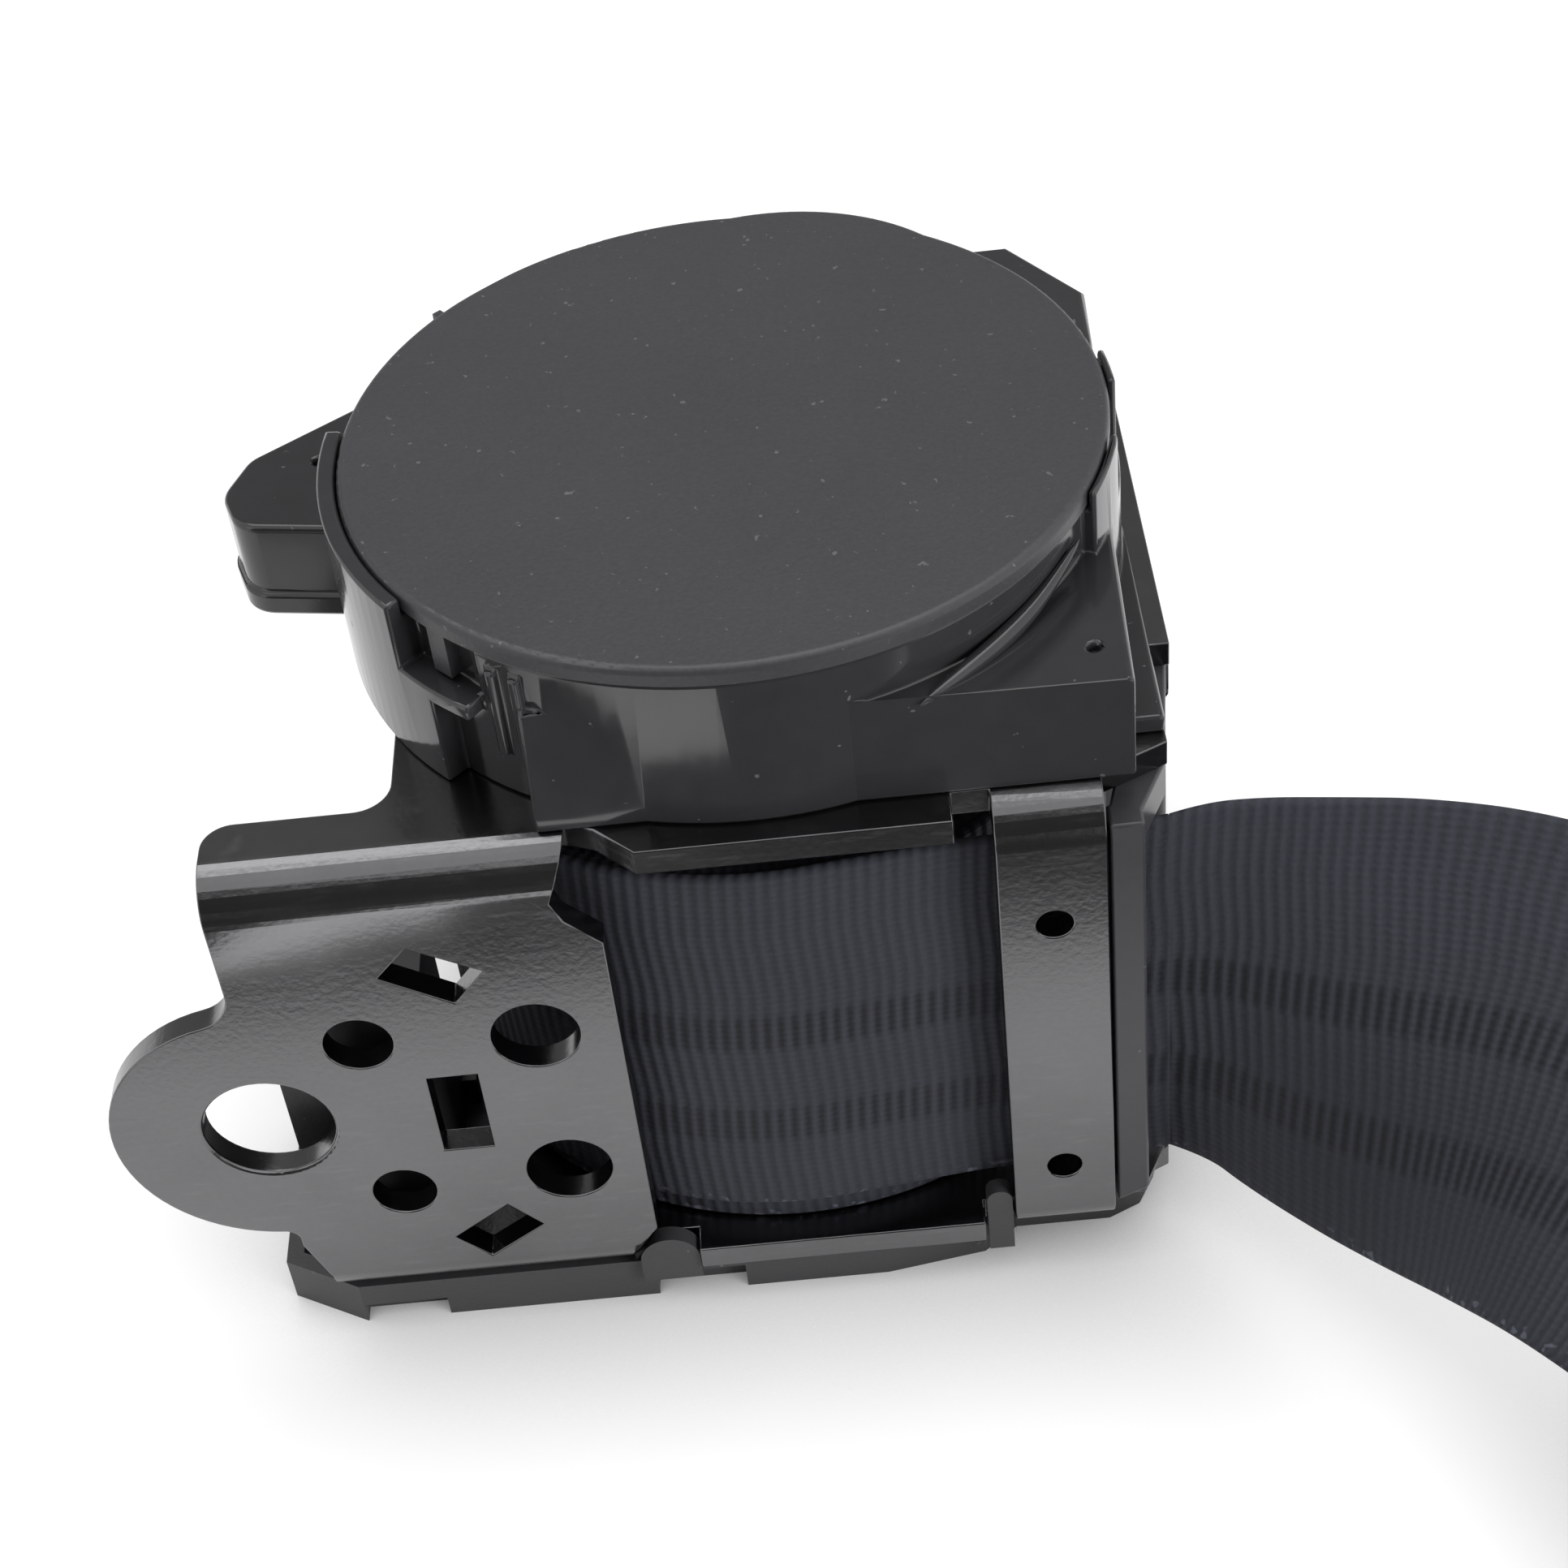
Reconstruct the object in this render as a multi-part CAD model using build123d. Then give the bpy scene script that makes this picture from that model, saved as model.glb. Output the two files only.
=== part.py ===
from build123d import *
import math
import os

# Seat-belt retractor with its webbing, tongue and end anchor, in millimetres.
# The spool axis is Z through the origin, the mounting plate faces -Y,
# the webbing leaves towards +X, and the retractor stands on its lower cover.

os.makedirs("parts", exist_ok=True)

# Steel frame
SHEET = 2.8
BEND_IN = 2.0
BEND_OUT = BEND_IN + SHEET
FRONT = 39.3
FLANGE_REAR = 36.5
FLANGE_LEFT = -33.9
FLANGE_RIGHT = 40.8
STEP_RIGHT = 38.6
FRAME_H = 59.9
PLATE_LEFT = -51.5
FOOT_LEFT = -49.5
PLATE_RIGHT = -15.2
STRAP_LEFT = 21.7
STRAP_RIGHT = 32.0
EAR_REAR = -30.0
LOBE_R = 15.5
LOBE_X = -51.3
MOUNT_X = -51.2
MOUNT_Z = 33.2
MOUNT_R = 6.5
EDGE_R = 0.45

# Plastic covers
COVER_DEPTH = 5.7
COVER_WALL = 1.8
COVER_SET_BACK = 1.6
DRUM_R = 36.8
DRUM_WALL = 1.9
DRUM_H = 16.6
GUARD_R = 39.2
BLOCK_H = 11.7
BLOCK_FRONT = 35.5
SPRING_FLOOR_H = 8.0
FLOOR_T = 1.6
CAP_R = 37.3
CAP_T = 1.9
CAP_GAP = 0.4
CAP_EDGE = 0.8

# Spool, webbing and lock
WEB_W = 46.8
WEB_T = 1.2
DECK_GAP = 0.4
ROLL_R = 36.1
LEAD_R = 37.0
CORE_R = 14.0
DISC_T = 2.0
DISC_R = 32.6
RATCHET_T = 4.0
RATCHET_R = 31.0
TOOTH_DEPTH = 2.6
RATCHET_TEETH = 24
BOSS_R = 12.0
BOSS_GAP = 1.0
SHAFT_R = 5.0
RUN_FIT = 0.05
BUSH_R = 8.0
PILOT_R = 31.5
PILOT_DEPTH = 2.0
PILOT_TEETH = 36
PILOT_T = 3.0
PIN_R = 3.0

# Screws, pawl pin and sensor places in plan
SCREW_R = 1.7
SCREW_HEAD_R = 3.4
SCREW_HEAD_T = 2.0
SCREWS_LOW = [(-26.0, 30.0), (33.0, 29.0), (32.0, -26.0)]
SCREWS_TOP = [(-26.0, 30.0), (33.0, 29.0), (29.5, -27.5)]
PAWL_AT = (31.5, 19.5)
LEVER_AT = (-37.4, 13.2)

# Heights worked out from the sizes above
Z_LOW = COVER_DEPTH
Z_DECK = Z_LOW + SHEET
Z_TOP = Z_LOW + FRAME_H
Z_CEIL = Z_TOP - SHEET
Z_ROLL = Z_DECK + DECK_GAP
Z_ROLL_TOP = Z_ROLL + WEB_W
Z_RATCHET = Z_CEIL - 0.5 - RATCHET_T
Z_DISC = Z_RATCHET - DISC_T
Z_BOSS = Z_TOP + BOSS_GAP
Z_SPRING = Z_TOP + SPRING_FLOOR_H
Z_DRUM = Z_TOP + DRUM_H
Z_CAP = Z_DRUM + CAP_GAP
Z_BLOCK = Z_TOP + BLOCK_H

# Swelling of the drum and the cap at the rear, where the mainspring's outer end is held
BULGE_ANGLE = 70.0
BULGE_R = 22.0
BULGE_OUT = 1.2
REAR = (CAP_R + BULGE_OUT - BULGE_R) * math.sin(math.radians(BULGE_ANGLE)) + BULGE_R

# The whole part is moved so that the origin is the bottom centre of its box
HOME = Pos(-(LOBE_X - LOBE_R + FLANGE_RIGHT) / 2, (FRONT - REAR) / 2, 0)


def prism(points, z0, z1):
    """Closed outline in plan, raised from z0 to z1."""
    face = make_face(Polyline(*points, close=True))
    return Pos(0, 0, z0) * extrude(face, z1 - z0)


def front_prism(points, y0, y1):
    """Closed outline in X and Z, seen from the front, from y0 back to y1."""
    face = make_face(Plane.XZ * Polyline(*points, close=True))
    return Pos(0, y0, 0) * extrude(face, y1 - y0, dir=(0, 1, 0))


def disc(radius, z0, z1, x=0.0, y=0.0):
    return Pos(x, y, z0) * Cylinder(radius, z1 - z0, align=(Align.CENTER, Align.CENTER, Align.MIN))


def block(x0, x1, y0, y1, z0, z1):
    return Pos((x0 + x1) / 2, (y0 + y1) / 2, (z0 + z1) / 2) * Box(x1 - x0, y1 - y0, z1 - z0)


def drill_front(x, z, radius):
    """Round hole through the front sheet."""
    bore = Rot(90, 0, 0) * Cylinder(radius, SHEET + 4)
    return Pos(x, -FRONT + SHEET / 2, z) * bore


def round_edges(solid, radius, keep):
    """Fillet the edges that keep() picks, all at once."""
    edges = [edge for edge in solid.edges() if keep(edge)]
    return fillet(edges, radius) if edges else solid


def polar(radius, degrees):
    a = math.radians(degrees)
    return (radius * math.cos(a), radius * math.sin(a))


def write(name, solid):
    placed = HOME * solid
    placed.label = name
    export_step(placed, f"parts/{name}.step")


# Frame: one stamping, a front web with two flanges bent back
def front_outline():
    """Mounting plate with its round lobe, and the strap across the window, in X and Z."""
    plate = Polyline(
        (FOOT_LEFT, Z_LOW),
        (RELIEF_X, Z_LOW),
        (RELIEF_X, Z_DECK - 0.1),
        (PLATE_RIGHT, Z_DECK + 4.2),
        (PLATE_RIGHT, Z_CEIL - 8.3),
        (PLATE_RIGHT - 3.3, Z_CEIL - 5.1),
        (PLATE_RIGHT - 4.3, Z_CEIL - 2.6),
        (PLATE_RIGHT - 2.2, Z_TOP),
        (PLATE_LEFT, Z_TOP),
        (PLATE_LEFT, Z_DECK + 6.6),
        (FOOT_LEFT, Z_DECK + 1.2),
        close=True,
    )
    sheet = make_face(plate) + Pos(LOBE_X, MOUNT_Z - 0.2) * Circle(LOBE_R)
    for above, radius in ((True, 4.0), (False, 1.5)):
        notch = [
            v for v in sheet.vertices()
            if abs(v.X - PLATE_LEFT) < 0.8 and Z_DECK + 7.0 < v.Y < Z_CEIL and (v.Y > MOUNT_Z) == above
        ]
        sheet = fillet(notch, radius)
    strap_x = (STRAP_LEFT + STRAP_RIGHT) / 2
    strap = Pos(strap_x, (Z_LOW + Z_TOP) / 2) * Rectangle(STRAP_RIGHT - STRAP_LEFT, FRAME_H)
    return sheet + strap


def channel():
    """The U of the web and both flanges, seen from the side, along the whole width."""
    back = -FRONT + BEND_OUT
    outer = Pos((FLANGE_REAR - FRONT) / 2, (Z_LOW + Z_TOP) / 2) * Rectangle(FRONT + FLANGE_REAR, FRAME_H)
    outer = fillet([v for v in outer.vertices() if v.X < 0], BEND_OUT)
    inner = Pos((FLANGE_REAR + 10 - FRONT + SHEET) / 2, (Z_LOW + Z_TOP) / 2) * Rectangle(
        FRONT - SHEET + FLANGE_REAR + 10, FRAME_H - 2 * SHEET
    )
    inner = fillet([v for v in inner.vertices() if v.X < 0], BEND_IN)
    side = Plane.YZ * (outer - inner)
    whole = Pos(-75, 0, 0) * extrude(side, 130, dir=(1, 0, 0))
    return whole & block(-75, 55, -FRONT - 1, back, 0, Z_TOP + 1)


def flange(z0, front_edge, ear_left):
    """Flat flange in plan, from the bends back. front_edge is its edge across the window."""
    bend = -FRONT + BEND_OUT
    outline = [(ear_left, bend)] + front_edge + [
        (STRAP_LEFT, bend),
        (STRAP_RIGHT, bend),
        (STEP_RIGHT, bend + 3.2),
        (STEP_RIGHT, -17.3),
        (FLANGE_RIGHT, -17.3),
        (FLANGE_RIGHT, FLANGE_REAR - 6),
        (FLANGE_RIGHT - 4, FLANGE_REAR),
        (FLANGE_LEFT, FLANGE_REAR),
        (FLANGE_LEFT, EAR_REAR),
        (ear_left, EAR_REAR),
    ]
    plate = prism(outline, z0, z0 + SHEET)
    for x, radius in ((FLANGE_LEFT, 3.5), (ear_left, 3.0)):
        upright = plate.edges().filter_by(Axis.Z)
        plate = fillet([e for e in upright if abs(e.center().X - x) + abs(e.center().Y - EAR_REAR) < 0.1], radius)
    return plate


NOTCH_REAR = -35.4
RELIEF_X = -18.1
LIP_TOP = [
    (PLATE_RIGHT - 2.2, -FRONT + BEND_OUT),
    (PLATE_RIGHT + 0.4, -35.6),
    (-11.0, -FRONT),
    (18.1, -FRONT),
    (18.1, NOTCH_REAR),
    (STRAP_LEFT, NOTCH_REAR),
]
LIP_LOW = [
    (RELIEF_X, -FRONT + BEND_OUT),
    (RELIEF_X, NOTCH_REAR - 0.8),
    (-11.3, NOTCH_REAR - 0.8),
    (-11.3, -FRONT),
    (18.5, -FRONT),
    (18.5, NOTCH_REAR - 0.8),
    (STRAP_LEFT, NOTCH_REAR - 0.8),
]
SLOTS = {
    "upper": [(-36.9, 52.6), (-33.6, 56.2), (-26.9, 52.3), (-30.2, 48.4)],
    "middle": [(-34.7, 38.3), (-29.7, 38.3), (-29.7, 27.7), (-34.7, 27.7)],
    "lower": [(-35.9, 14.2), (-29.8, 18.6), (-26.6, 15.0), (-32.6, 10.8)],
}
PLATE_HOLES = [(-23.3, 42.9, 4.3), (-40.3, 44.0, 3.35), (-39.7, 22.1, 3.2), (-22.8, 23.2, 4.3)]
STRAP_HOLES = [(26.9, 51.2, 1.75), (26.9, 16.5, 1.75)]


def make_frame():
    web = Plane.XZ * front_outline()
    mask = Pos(0, -FRONT - 1, 0) * extrude(web, BEND_OUT + 1, dir=(0, 1, 0))
    body = channel() & mask
    body += flange(Z_CEIL, LIP_TOP, PLATE_LEFT)
    body += flange(Z_LOW, LIP_LOW, FOOT_LEFT)
    body -= drill_front(MOUNT_X, MOUNT_Z, MOUNT_R)
    for x, z, radius in PLATE_HOLES + STRAP_HOLES:
        body -= drill_front(x, z, radius)
    for corners in SLOTS.values():
        body -= front_prism(corners, -FRONT - 1, -FRONT + SHEET + 1)
    body -= disc(BOSS_R + 1.5, Z_CEIL - 1, Z_TOP + 1)
    body -= disc(BUSH_R, Z_LOW - 1, Z_DECK + 1)
    body -= disc(PIN_R, Z_CEIL - 1, Z_TOP + 1, *PAWL_AT)
    for x, y in SCREWS_LOW:
        body -= disc(SCREW_R, Z_LOW - 1, Z_DECK + 1, x, y)
    for x, y in SCREWS_TOP:
        body -= disc(SCREW_R, Z_CEIL - 1, Z_TOP + 1, x, y)
    mouth = [
        e for e in body.edges().filter_by(GeomType.CIRCLE)
        if abs(e.radius - MOUNT_R) < 0.01 and abs(e.center().Y + FRONT) < 0.02
    ]
    return fillet(mouth, EDGE_R)


# Lower cover: shallow plastic tray under the frame, with the side box behind the plate
COVER_OUTLINE = [
    (-47.7, -FRONT + COVER_SET_BACK),
    (8.0, -FRONT + COVER_SET_BACK),
    (18.4, -36.1),
    (22.0, -33.2),
    (32.0, -33.2),
    (35.4, -31.6),
    (37.3, -28.2),
    (39.2, -22.0),
    (39.2, 30.0),
    (33.0, 35.0),
    (-33.0, 35.0),
    (-38.0, 30.0),
    (-38.0, -8.0),
    (-55.7, -8.0),
    (-55.7, -33.4),
]
BOX_LEFT = -50.4
BOX_RIGHT = -37.8
BOX_FRONT = -34.2
BOX_REAR = -8.0
BOX_TOP = 31.0
BLADE_DEPTH = 3.8
BLADE_TOP = 61.6
SKIRT_NOTCHES = [(-47.6, -38.8, 2.6), (-16.4, -7.0, 3.4)]
LUGS = [(-17.6, -11.4, Z_DECK + 1.5), (18.8, 21.4, Z_DECK + 4.2)]
LUG_FRONT = -38.8
LUG_T = 1.8


def lug(x0, x1, top):
    """Round-topped tongue of the cover, standing in a relief of the frame."""
    width = x1 - x0
    spring = top - width / 2
    body = block(x0, x1, LUG_FRONT, LUG_FRONT + LUG_T, Z_LOW - 2, spring)
    crown = Pos((x0 + x1) / 2, LUG_FRONT + LUG_T / 2, spring) * Rot(90, 0, 0) * Cylinder(width / 2, LUG_T)
    return body + crown + block(x0, x1, LUG_FRONT, -34.0, Z_LOW - 1.8, Z_LOW)


def side_box():
    """Hollow box behind the plate's left part, with a channel-shaped blade standing up to the ear."""
    box = block(BOX_LEFT, BOX_RIGHT, BOX_FRONT, BOX_REAR, 0, BOX_TOP)
    box += block(BOX_LEFT, BOX_RIGHT, BOX_FRONT, BOX_FRONT + BLADE_DEPTH, BOX_TOP - 1, BLADE_TOP)
    left = BOX_LEFT + COVER_WALL
    right = BOX_RIGHT - COVER_WALL
    front = BOX_FRONT + COVER_WALL
    box -= block(left, right, front, BOX_REAR - COVER_WALL, COVER_WALL, BOX_TOP - COVER_WALL)
    box -= block(left, right, front, BOX_FRONT + BLADE_DEPTH + 1, BOX_TOP, BLADE_TOP - COVER_WALL)
    return box - block(PLATE_LEFT - 2, FLANGE_LEFT + 1, -FRONT, EAR_REAR + 0.2, Z_LOW, Z_DECK)


def make_lower_cover():
    outer = prism(COVER_OUTLINE, 0, Z_LOW)
    inner = offset(make_face(Polyline(*COVER_OUTLINE, close=True)), -COVER_WALL, kind=Kind.INTERSECTION)
    tray = outer - Pos(0, 0, COVER_WALL) * extrude(inner, Z_LOW)
    tray += side_box()
    for x, y in SCREWS_LOW:
        tray += disc(SCREW_HEAD_R + 1.8, 0, Z_LOW, x, y) & outer
    tray += disc(SHAFT_R + 4.0, 0, COVER_WALL + 0.6)
    for x0, x1, height in SKIRT_NOTCHES:
        tray -= block(x0, x1, -FRONT, -FRONT + COVER_SET_BACK + COVER_WALL, -1, height)
    for x0, x1, top in LUGS:
        tray += lug(x0, x1, top)
    relief = [(RELIEF_X - 9, Z_LOW), (RELIEF_X + 0.3, Z_LOW), (RELIEF_X + 0.3, Z_DECK - 0.3),
              (PLATE_RIGHT + 0.4, Z_DECK + 4.0), (PLATE_RIGHT + 0.4, Z_DECK + 9), (RELIEF_X - 9, Z_DECK + 9)]
    tray -= front_prism(relief, -FRONT - 1, -FRONT + BEND_OUT)
    for x, y in SCREWS_LOW:
        tray -= disc(SCREW_R, -1, Z_LOW + 1, x, y)
        tray -= disc(SCREW_HEAD_R + 0.2, -1, SCREW_HEAD_T + 0.2, x, y)
    return tray


# Upper housing: spring drum over the mechanism block, with its ear, corner and rear lobe
BLOCK_OUTLINE = [
    (-19.9, -BLOCK_FRONT),
    (35.2, -BLOCK_FRONT),
    (36.2, -8.0),
    (38.0, 18.0),
    (38.3, 26.9),
    (31.2, 37.2),
    (26.8, 37.2),
    (10.0, 20.0),
    (-10.0, -10.0),
    (-19.9, -20.0),
]
EAR_OUTLINE = [(-30.0, -3.0), (-48.7, 0.5), (-50.7, 6.3), (-48.5, 11.9), (-38.1, 19.4), (-20.0, 27.6)]
EAR_LIP = [(-30.0, -3.6), (-49.0, -0.1), (-51.1, 6.3), (-48.9, 12.2), (-38.3, 19.8), (-20.0, 28.0)]
EAR_FOOT = 1.2
CLIP_ANGLES = [223.6, 354.0, 129.0]
CLIP_W = 8.6
CLIP_DEPTH = 1.0
CLIP_DROP = 5.2
TAB_W = 2.4
GUARDS = [(172.0, 224.0, GUARD_R), (333.0, 369.0, GUARD_R - 1.0)]
RIB_ANGLES = [233.6, 237.6]
PIN_HOLES = [(-41.2, 10.4), (32.1, -30.7)]


def clip_box(angle, width, r0, r1, z0, z1):
    """Box set on the drum wall at an angle, from radius r0 to r1."""
    bar = block(r0, r1, -width / 2, width / 2, z0, z1)
    return Rot(0, 0, angle) * bar


EAR_WALL = 2.0


def front_draft():
    """What the block's front wall leans back by, left of the strap."""
    side = Plane.YZ * make_face(Polyline(
        (-BLOCK_FRONT - 1, Z_TOP + 2), (-BLOCK_FRONT, Z_TOP + 2), (-BLOCK_FRONT + 3.2, Z_BLOCK + 1),
        (-BLOCK_FRONT - 1, Z_BLOCK + 1), close=True))
    return Pos(-21, 0, 0) * extrude(side, 14, dir=(1, 0, 0))


def ear_room(z0, z1):
    """Hollow of the ear, where the sensor sits."""
    inner = offset(make_face(Polyline(*EAR_OUTLINE, close=True)), -EAR_WALL, kind=Kind.INTERSECTION)
    return Pos(0, 0, z0) * extrude(inner, z1 - z0)


def wedge(a0, a1, z0, z1):
    """Slice round the spool axis between two angles, wider than the drum."""
    return prism([(0, 0), polar(60, a0), polar(60, (a0 + a1) / 2), polar(60, a1)], z0, z1)


def bulge(radius, z0, z1):
    """Low swelling of the drum's outline at the rear, where the mainspring's outer end is held."""
    return disc(BULGE_R, z0, z1, *polar(radius + BULGE_OUT - BULGE_R, BULGE_ANGLE))


def drum_walls():
    """Drum wall with its guards at the sides, a ledge under the front clip and two ribs beside it."""
    walls = disc(DRUM_R, Z_TOP, Z_DRUM) + bulge(DRUM_R, Z_TOP, Z_DRUM)
    for a0, a1, radius in GUARDS:
        guard = disc(radius, Z_TOP, Z_CAP + CAP_T - 0.3) & wedge(a0, a1, Z_TOP, Z_CAP + CAP_T)
        walls += guard - disc(CAP_R + 0.2, Z_DRUM, Z_CAP + CAP_T + 1)
    a1 = GUARDS[0][1]
    walls += disc(GUARD_R, Z_DRUM - CLIP_DROP - 1.6, Z_DRUM - CLIP_DROP) & wedge(a1 - 1, a1 + 7, Z_TOP, Z_DRUM)
    for angle in RIB_ANGLES:
        walls += Rot(0, 0, angle) * block(DRUM_R - 0.6, DRUM_R + 0.7, -0.6, 0.6, Z_BLOCK - 6.5, Z_DRUM - 1.5)
    return walls


def make_mechanism_housing():
    ear = prism(EAR_OUTLINE, Z_TOP + EAR_FOOT, Z_BLOCK)
    ear = round_edges(ear, 3.6, lambda e: e.center().X < -45 and abs(e.center().Z - (Z_TOP + Z_BLOCK) / 2) < 1)
    lobes = prism(BLOCK_OUTLINE, Z_TOP, Z_BLOCK)
    outer = lobes + ear
    outer = round_edges(
        outer, 0.7,
        lambda e: abs(e.center().Z - Z_BLOCK) < 0.01 and math.hypot(e.center().X, e.center().Y) > DRUM_R,
    )
    outer -= front_draft()
    outer += drum_walls()
    rim = block(34.0, STEP_RIGHT, -30.0, 20.0, Z_TOP, Z_TOP + 2.0)
    outer += round_edges(rim, 0.6, lambda e: e.center().X > 38 and e.center().Z > Z_TOP + 1.9)
    lip = prism(EAR_LIP, Z_TOP + EAR_FOOT, Z_TOP + EAR_FOOT + 2.4)
    outer += round_edges(lip, 3.8, lambda e: e.center().X < -45 and abs(e.center().Z - Z_TOP - EAR_FOOT - 1.2) < 0.5)
    room = disc(DRUM_R - DRUM_WALL, Z_TOP - 1, Z_SPRING)
    room += ear_room(Z_TOP - 1, Z_BLOCK - EAR_WALL)
    body = outer - room
    body += disc(SCREW_R + 3.2, Z_TOP, Z_TOP + 6.0, *SCREWS_TOP[0]) - disc(DRUM_R - 0.5, Z_TOP, Z_BLOCK)
    body -= disc(DRUM_R - DRUM_WALL, Z_SPRING + FLOOR_T, Z_DRUM + 1)
    body += disc(SHAFT_R + 3.0, Z_SPRING - 1.2, Z_SPRING + FLOOR_T)
    body -= disc(SHAFT_R + RUN_FIT, Z_SPRING - 3, Z_SPRING + FLOOR_T + 1)
    for angle in CLIP_ANGLES:
        body -= clip_box(angle, CLIP_W, DRUM_R - CLIP_DEPTH, GUARD_R + 2, Z_DRUM - CLIP_DROP, Z_DRUM + 5)
    for x, y in PIN_HOLES:
        body -= disc(0.6, Z_BLOCK - 1.2, Z_BLOCK + 1, x, y)
    for x, y in SCREWS_TOP:
        body -= disc(SCREW_R, Z_TOP - 1, Z_TOP + 5.0, x, y)
    body -= disc(PIN_R + 1.6, Z_TOP - 1, Z_TOP + 1.3, *PAWL_AT)
    return body


def make_spring_cover():
    def is_top(edge):
        return abs(edge.center().Z - Z_CAP - CAP_T) < 0.01

    cap = round_edges(disc(CAP_R, Z_CAP, Z_CAP + CAP_T), CAP_EDGE, is_top)
    cap += round_edges(bulge(CAP_R, Z_CAP, Z_CAP + CAP_T), CAP_EDGE, is_top)
    cap -= clip_box(CLIP_ANGLES[2], 30, CAP_R - 0.6, CAP_R + 4, Z_CAP - 1, Z_CAP + CAP_T + 1)
    nib = block(CAP_R - 2.0, CAP_R + 0.3, 6.0, 7.0, Z_CAP, Z_CAP + CAP_T - 0.5)
    cap += Rot(0, 0, CLIP_ANGLES[2]) * nib
    ring = disc(DRUM_R - DRUM_WALL - 0.2, Z_CAP - 2.5, Z_CAP) - disc(DRUM_R - DRUM_WALL - 1.8, Z_CAP - 3, Z_CAP)
    cap += ring
    cap += disc(DRUM_R - 0.9, Z_DRUM, Z_CAP) - disc(DRUM_R - DRUM_WALL - 1.8, Z_DRUM, Z_CAP)
    for angle in CLIP_ANGLES:
        cap += clip_box(angle, TAB_W, DRUM_R - CLIP_DEPTH, CAP_R - 0.2, Z_DRUM - CLIP_DROP + 0.5, Z_CAP + 1.0)
    return cap


# Spool with its upper disc and boss, on a steel torsion shaft
def make_spool():
    body = disc(CORE_R, Z_ROLL, Z_DISC) + disc(DISC_R, Z_DISC, Z_RATCHET)
    body += disc(BOSS_R, Z_RATCHET, Z_BOSS)
    body -= disc(SHAFT_R, Z_ROLL - 1, Z_BOSS + 1)
    body -= block(-CORE_R - 1, -SHAFT_R + 2, 1.0, 3.0, Z_ROLL + 2, Z_ROLL_TOP - 2) - disc(SHAFT_R + 2.0, 0, 90)
    return body


def make_shaft():
    lower = disc(SHAFT_R, 2.4 + 0.3, Z_ROLL)
    middle = disc(SHAFT_R, Z_ROLL, Z_BOSS + PILOT_T)
    upper = disc(SHAFT_R, Z_BOSS + PILOT_T, Z_DRUM - 0.6)
    body = lower + middle + upper
    drive = block(-1.0, 1.0, -SHAFT_R - 1, SHAFT_R + 1, Z_SPRING + FLOOR_T + 0.6, Z_DRUM)
    body -= drive
    return chamfer([e for e in body.edges().filter_by(GeomType.CIRCLE) if e.center().Z < 3], 0.6)


def toothed_disc(tip_r, depth, teeth, z0, z1, lean):
    """Saw-tooth ratchet: each tooth rises slowly and drops along a near-radial face."""
    points = []
    for k in range(teeth):
        a0 = 2 * math.pi * k / teeth
        a1 = a0 + lean * 2 * math.pi / teeth
        points.append((tip_r * math.cos(a0), tip_r * math.sin(a0)))
        points.append(((tip_r - depth) * math.cos(a0 + 0.01), (tip_r - depth) * math.sin(a0 + 0.01)))
        points.append(((tip_r - depth) * math.cos(a1), (tip_r - depth) * math.sin(a1)))
    return prism(points, z0, z1)


def make_ratchet():
    turn = nose_angle() - 1.9
    wheel = toothed_disc(RATCHET_R, TOOTH_DEPTH, RATCHET_TEETH, Z_RATCHET, Z_RATCHET + RATCHET_T, 0.35)
    wheel = Rot(0, 0, turn) * wheel
    wheel -= disc(BOSS_R, Z_RATCHET - 1, Z_TOP)
    for k in range(3):
        wheel -= Rot(0, 0, 120 * k + 30) * disc(5.0, Z_RATCHET - 1, Z_TOP, 20.0, 0)
    return wheel


def make_pilot_wheel():
    z0 = Z_BOSS
    wheel = toothed_disc(PILOT_R, PILOT_DEPTH, PILOT_TEETH, z0, z0 + PILOT_T, 0.35)
    wheel = Rot(0, 0, finger_angle() - 0.7) * wheel
    wheel -= disc(PILOT_R - 4.5, z0 + 1.4, z0 + PILOT_T + 1) - disc(SHAFT_R + 3.0, z0, z0 + 9)
    for k in range(6):
        wheel -= Rot(0, 0, 60 * k) * disc(4.0, z0 - 1, z0 + 9, 17.0, 0)
    return wheel - disc(SHAFT_R, z0 - 1, z0 + 9)


# Locking pawl on its riveted pin, swinging into the ratchet under the upper flange
PAWL_ARM = 14.0
PAWL_SWING = 10.0
PAWL_BITE = 1.7


def nose_angle():
    """Where the nose stands round the spool axis when the pawl is in the ratchet, in degrees."""
    reach = math.hypot(*PAWL_AT)
    low = RATCHET_R - PAWL_BITE
    half = math.acos((reach**2 + low**2 - PAWL_ARM**2) / (2 * reach * low))
    return math.degrees(math.atan2(PAWL_AT[1], PAWL_AT[0]) - half)


def make_pawl():
    """Drawn in the locked place, then swung out to rest."""
    x, y = PAWL_AT
    nose = nose_angle()
    pivot = math.degrees(math.atan2(y, x))
    reach = math.hypot(x, y)
    low = RATCHET_R - PAWL_BITE
    z0 = Z_RATCHET + 0.3
    z1 = Z_RATCHET + RATCHET_T - 0.5
    arm = prism([
        polar(low, nose),
        polar(RATCHET_R + 0.6, nose + 7.6),
        polar(reach - 5.0, pivot - 1.0),
        polar(reach + 5.0, pivot - 1.0),
        polar(reach + 2.0, nose + 9.0),
        polar(low + 6.0, nose + 0.6),
    ], z0, z1)
    body = arm + disc(5.0, z0, z1, x, y) - disc(PIN_R + RUN_FIT, z0 - 1, z1 + 1, x, y)
    return Pos(x, y, 0) * Rot(0, 0, PAWL_SWING) * Pos(-x, -y, 0) * body


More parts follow.
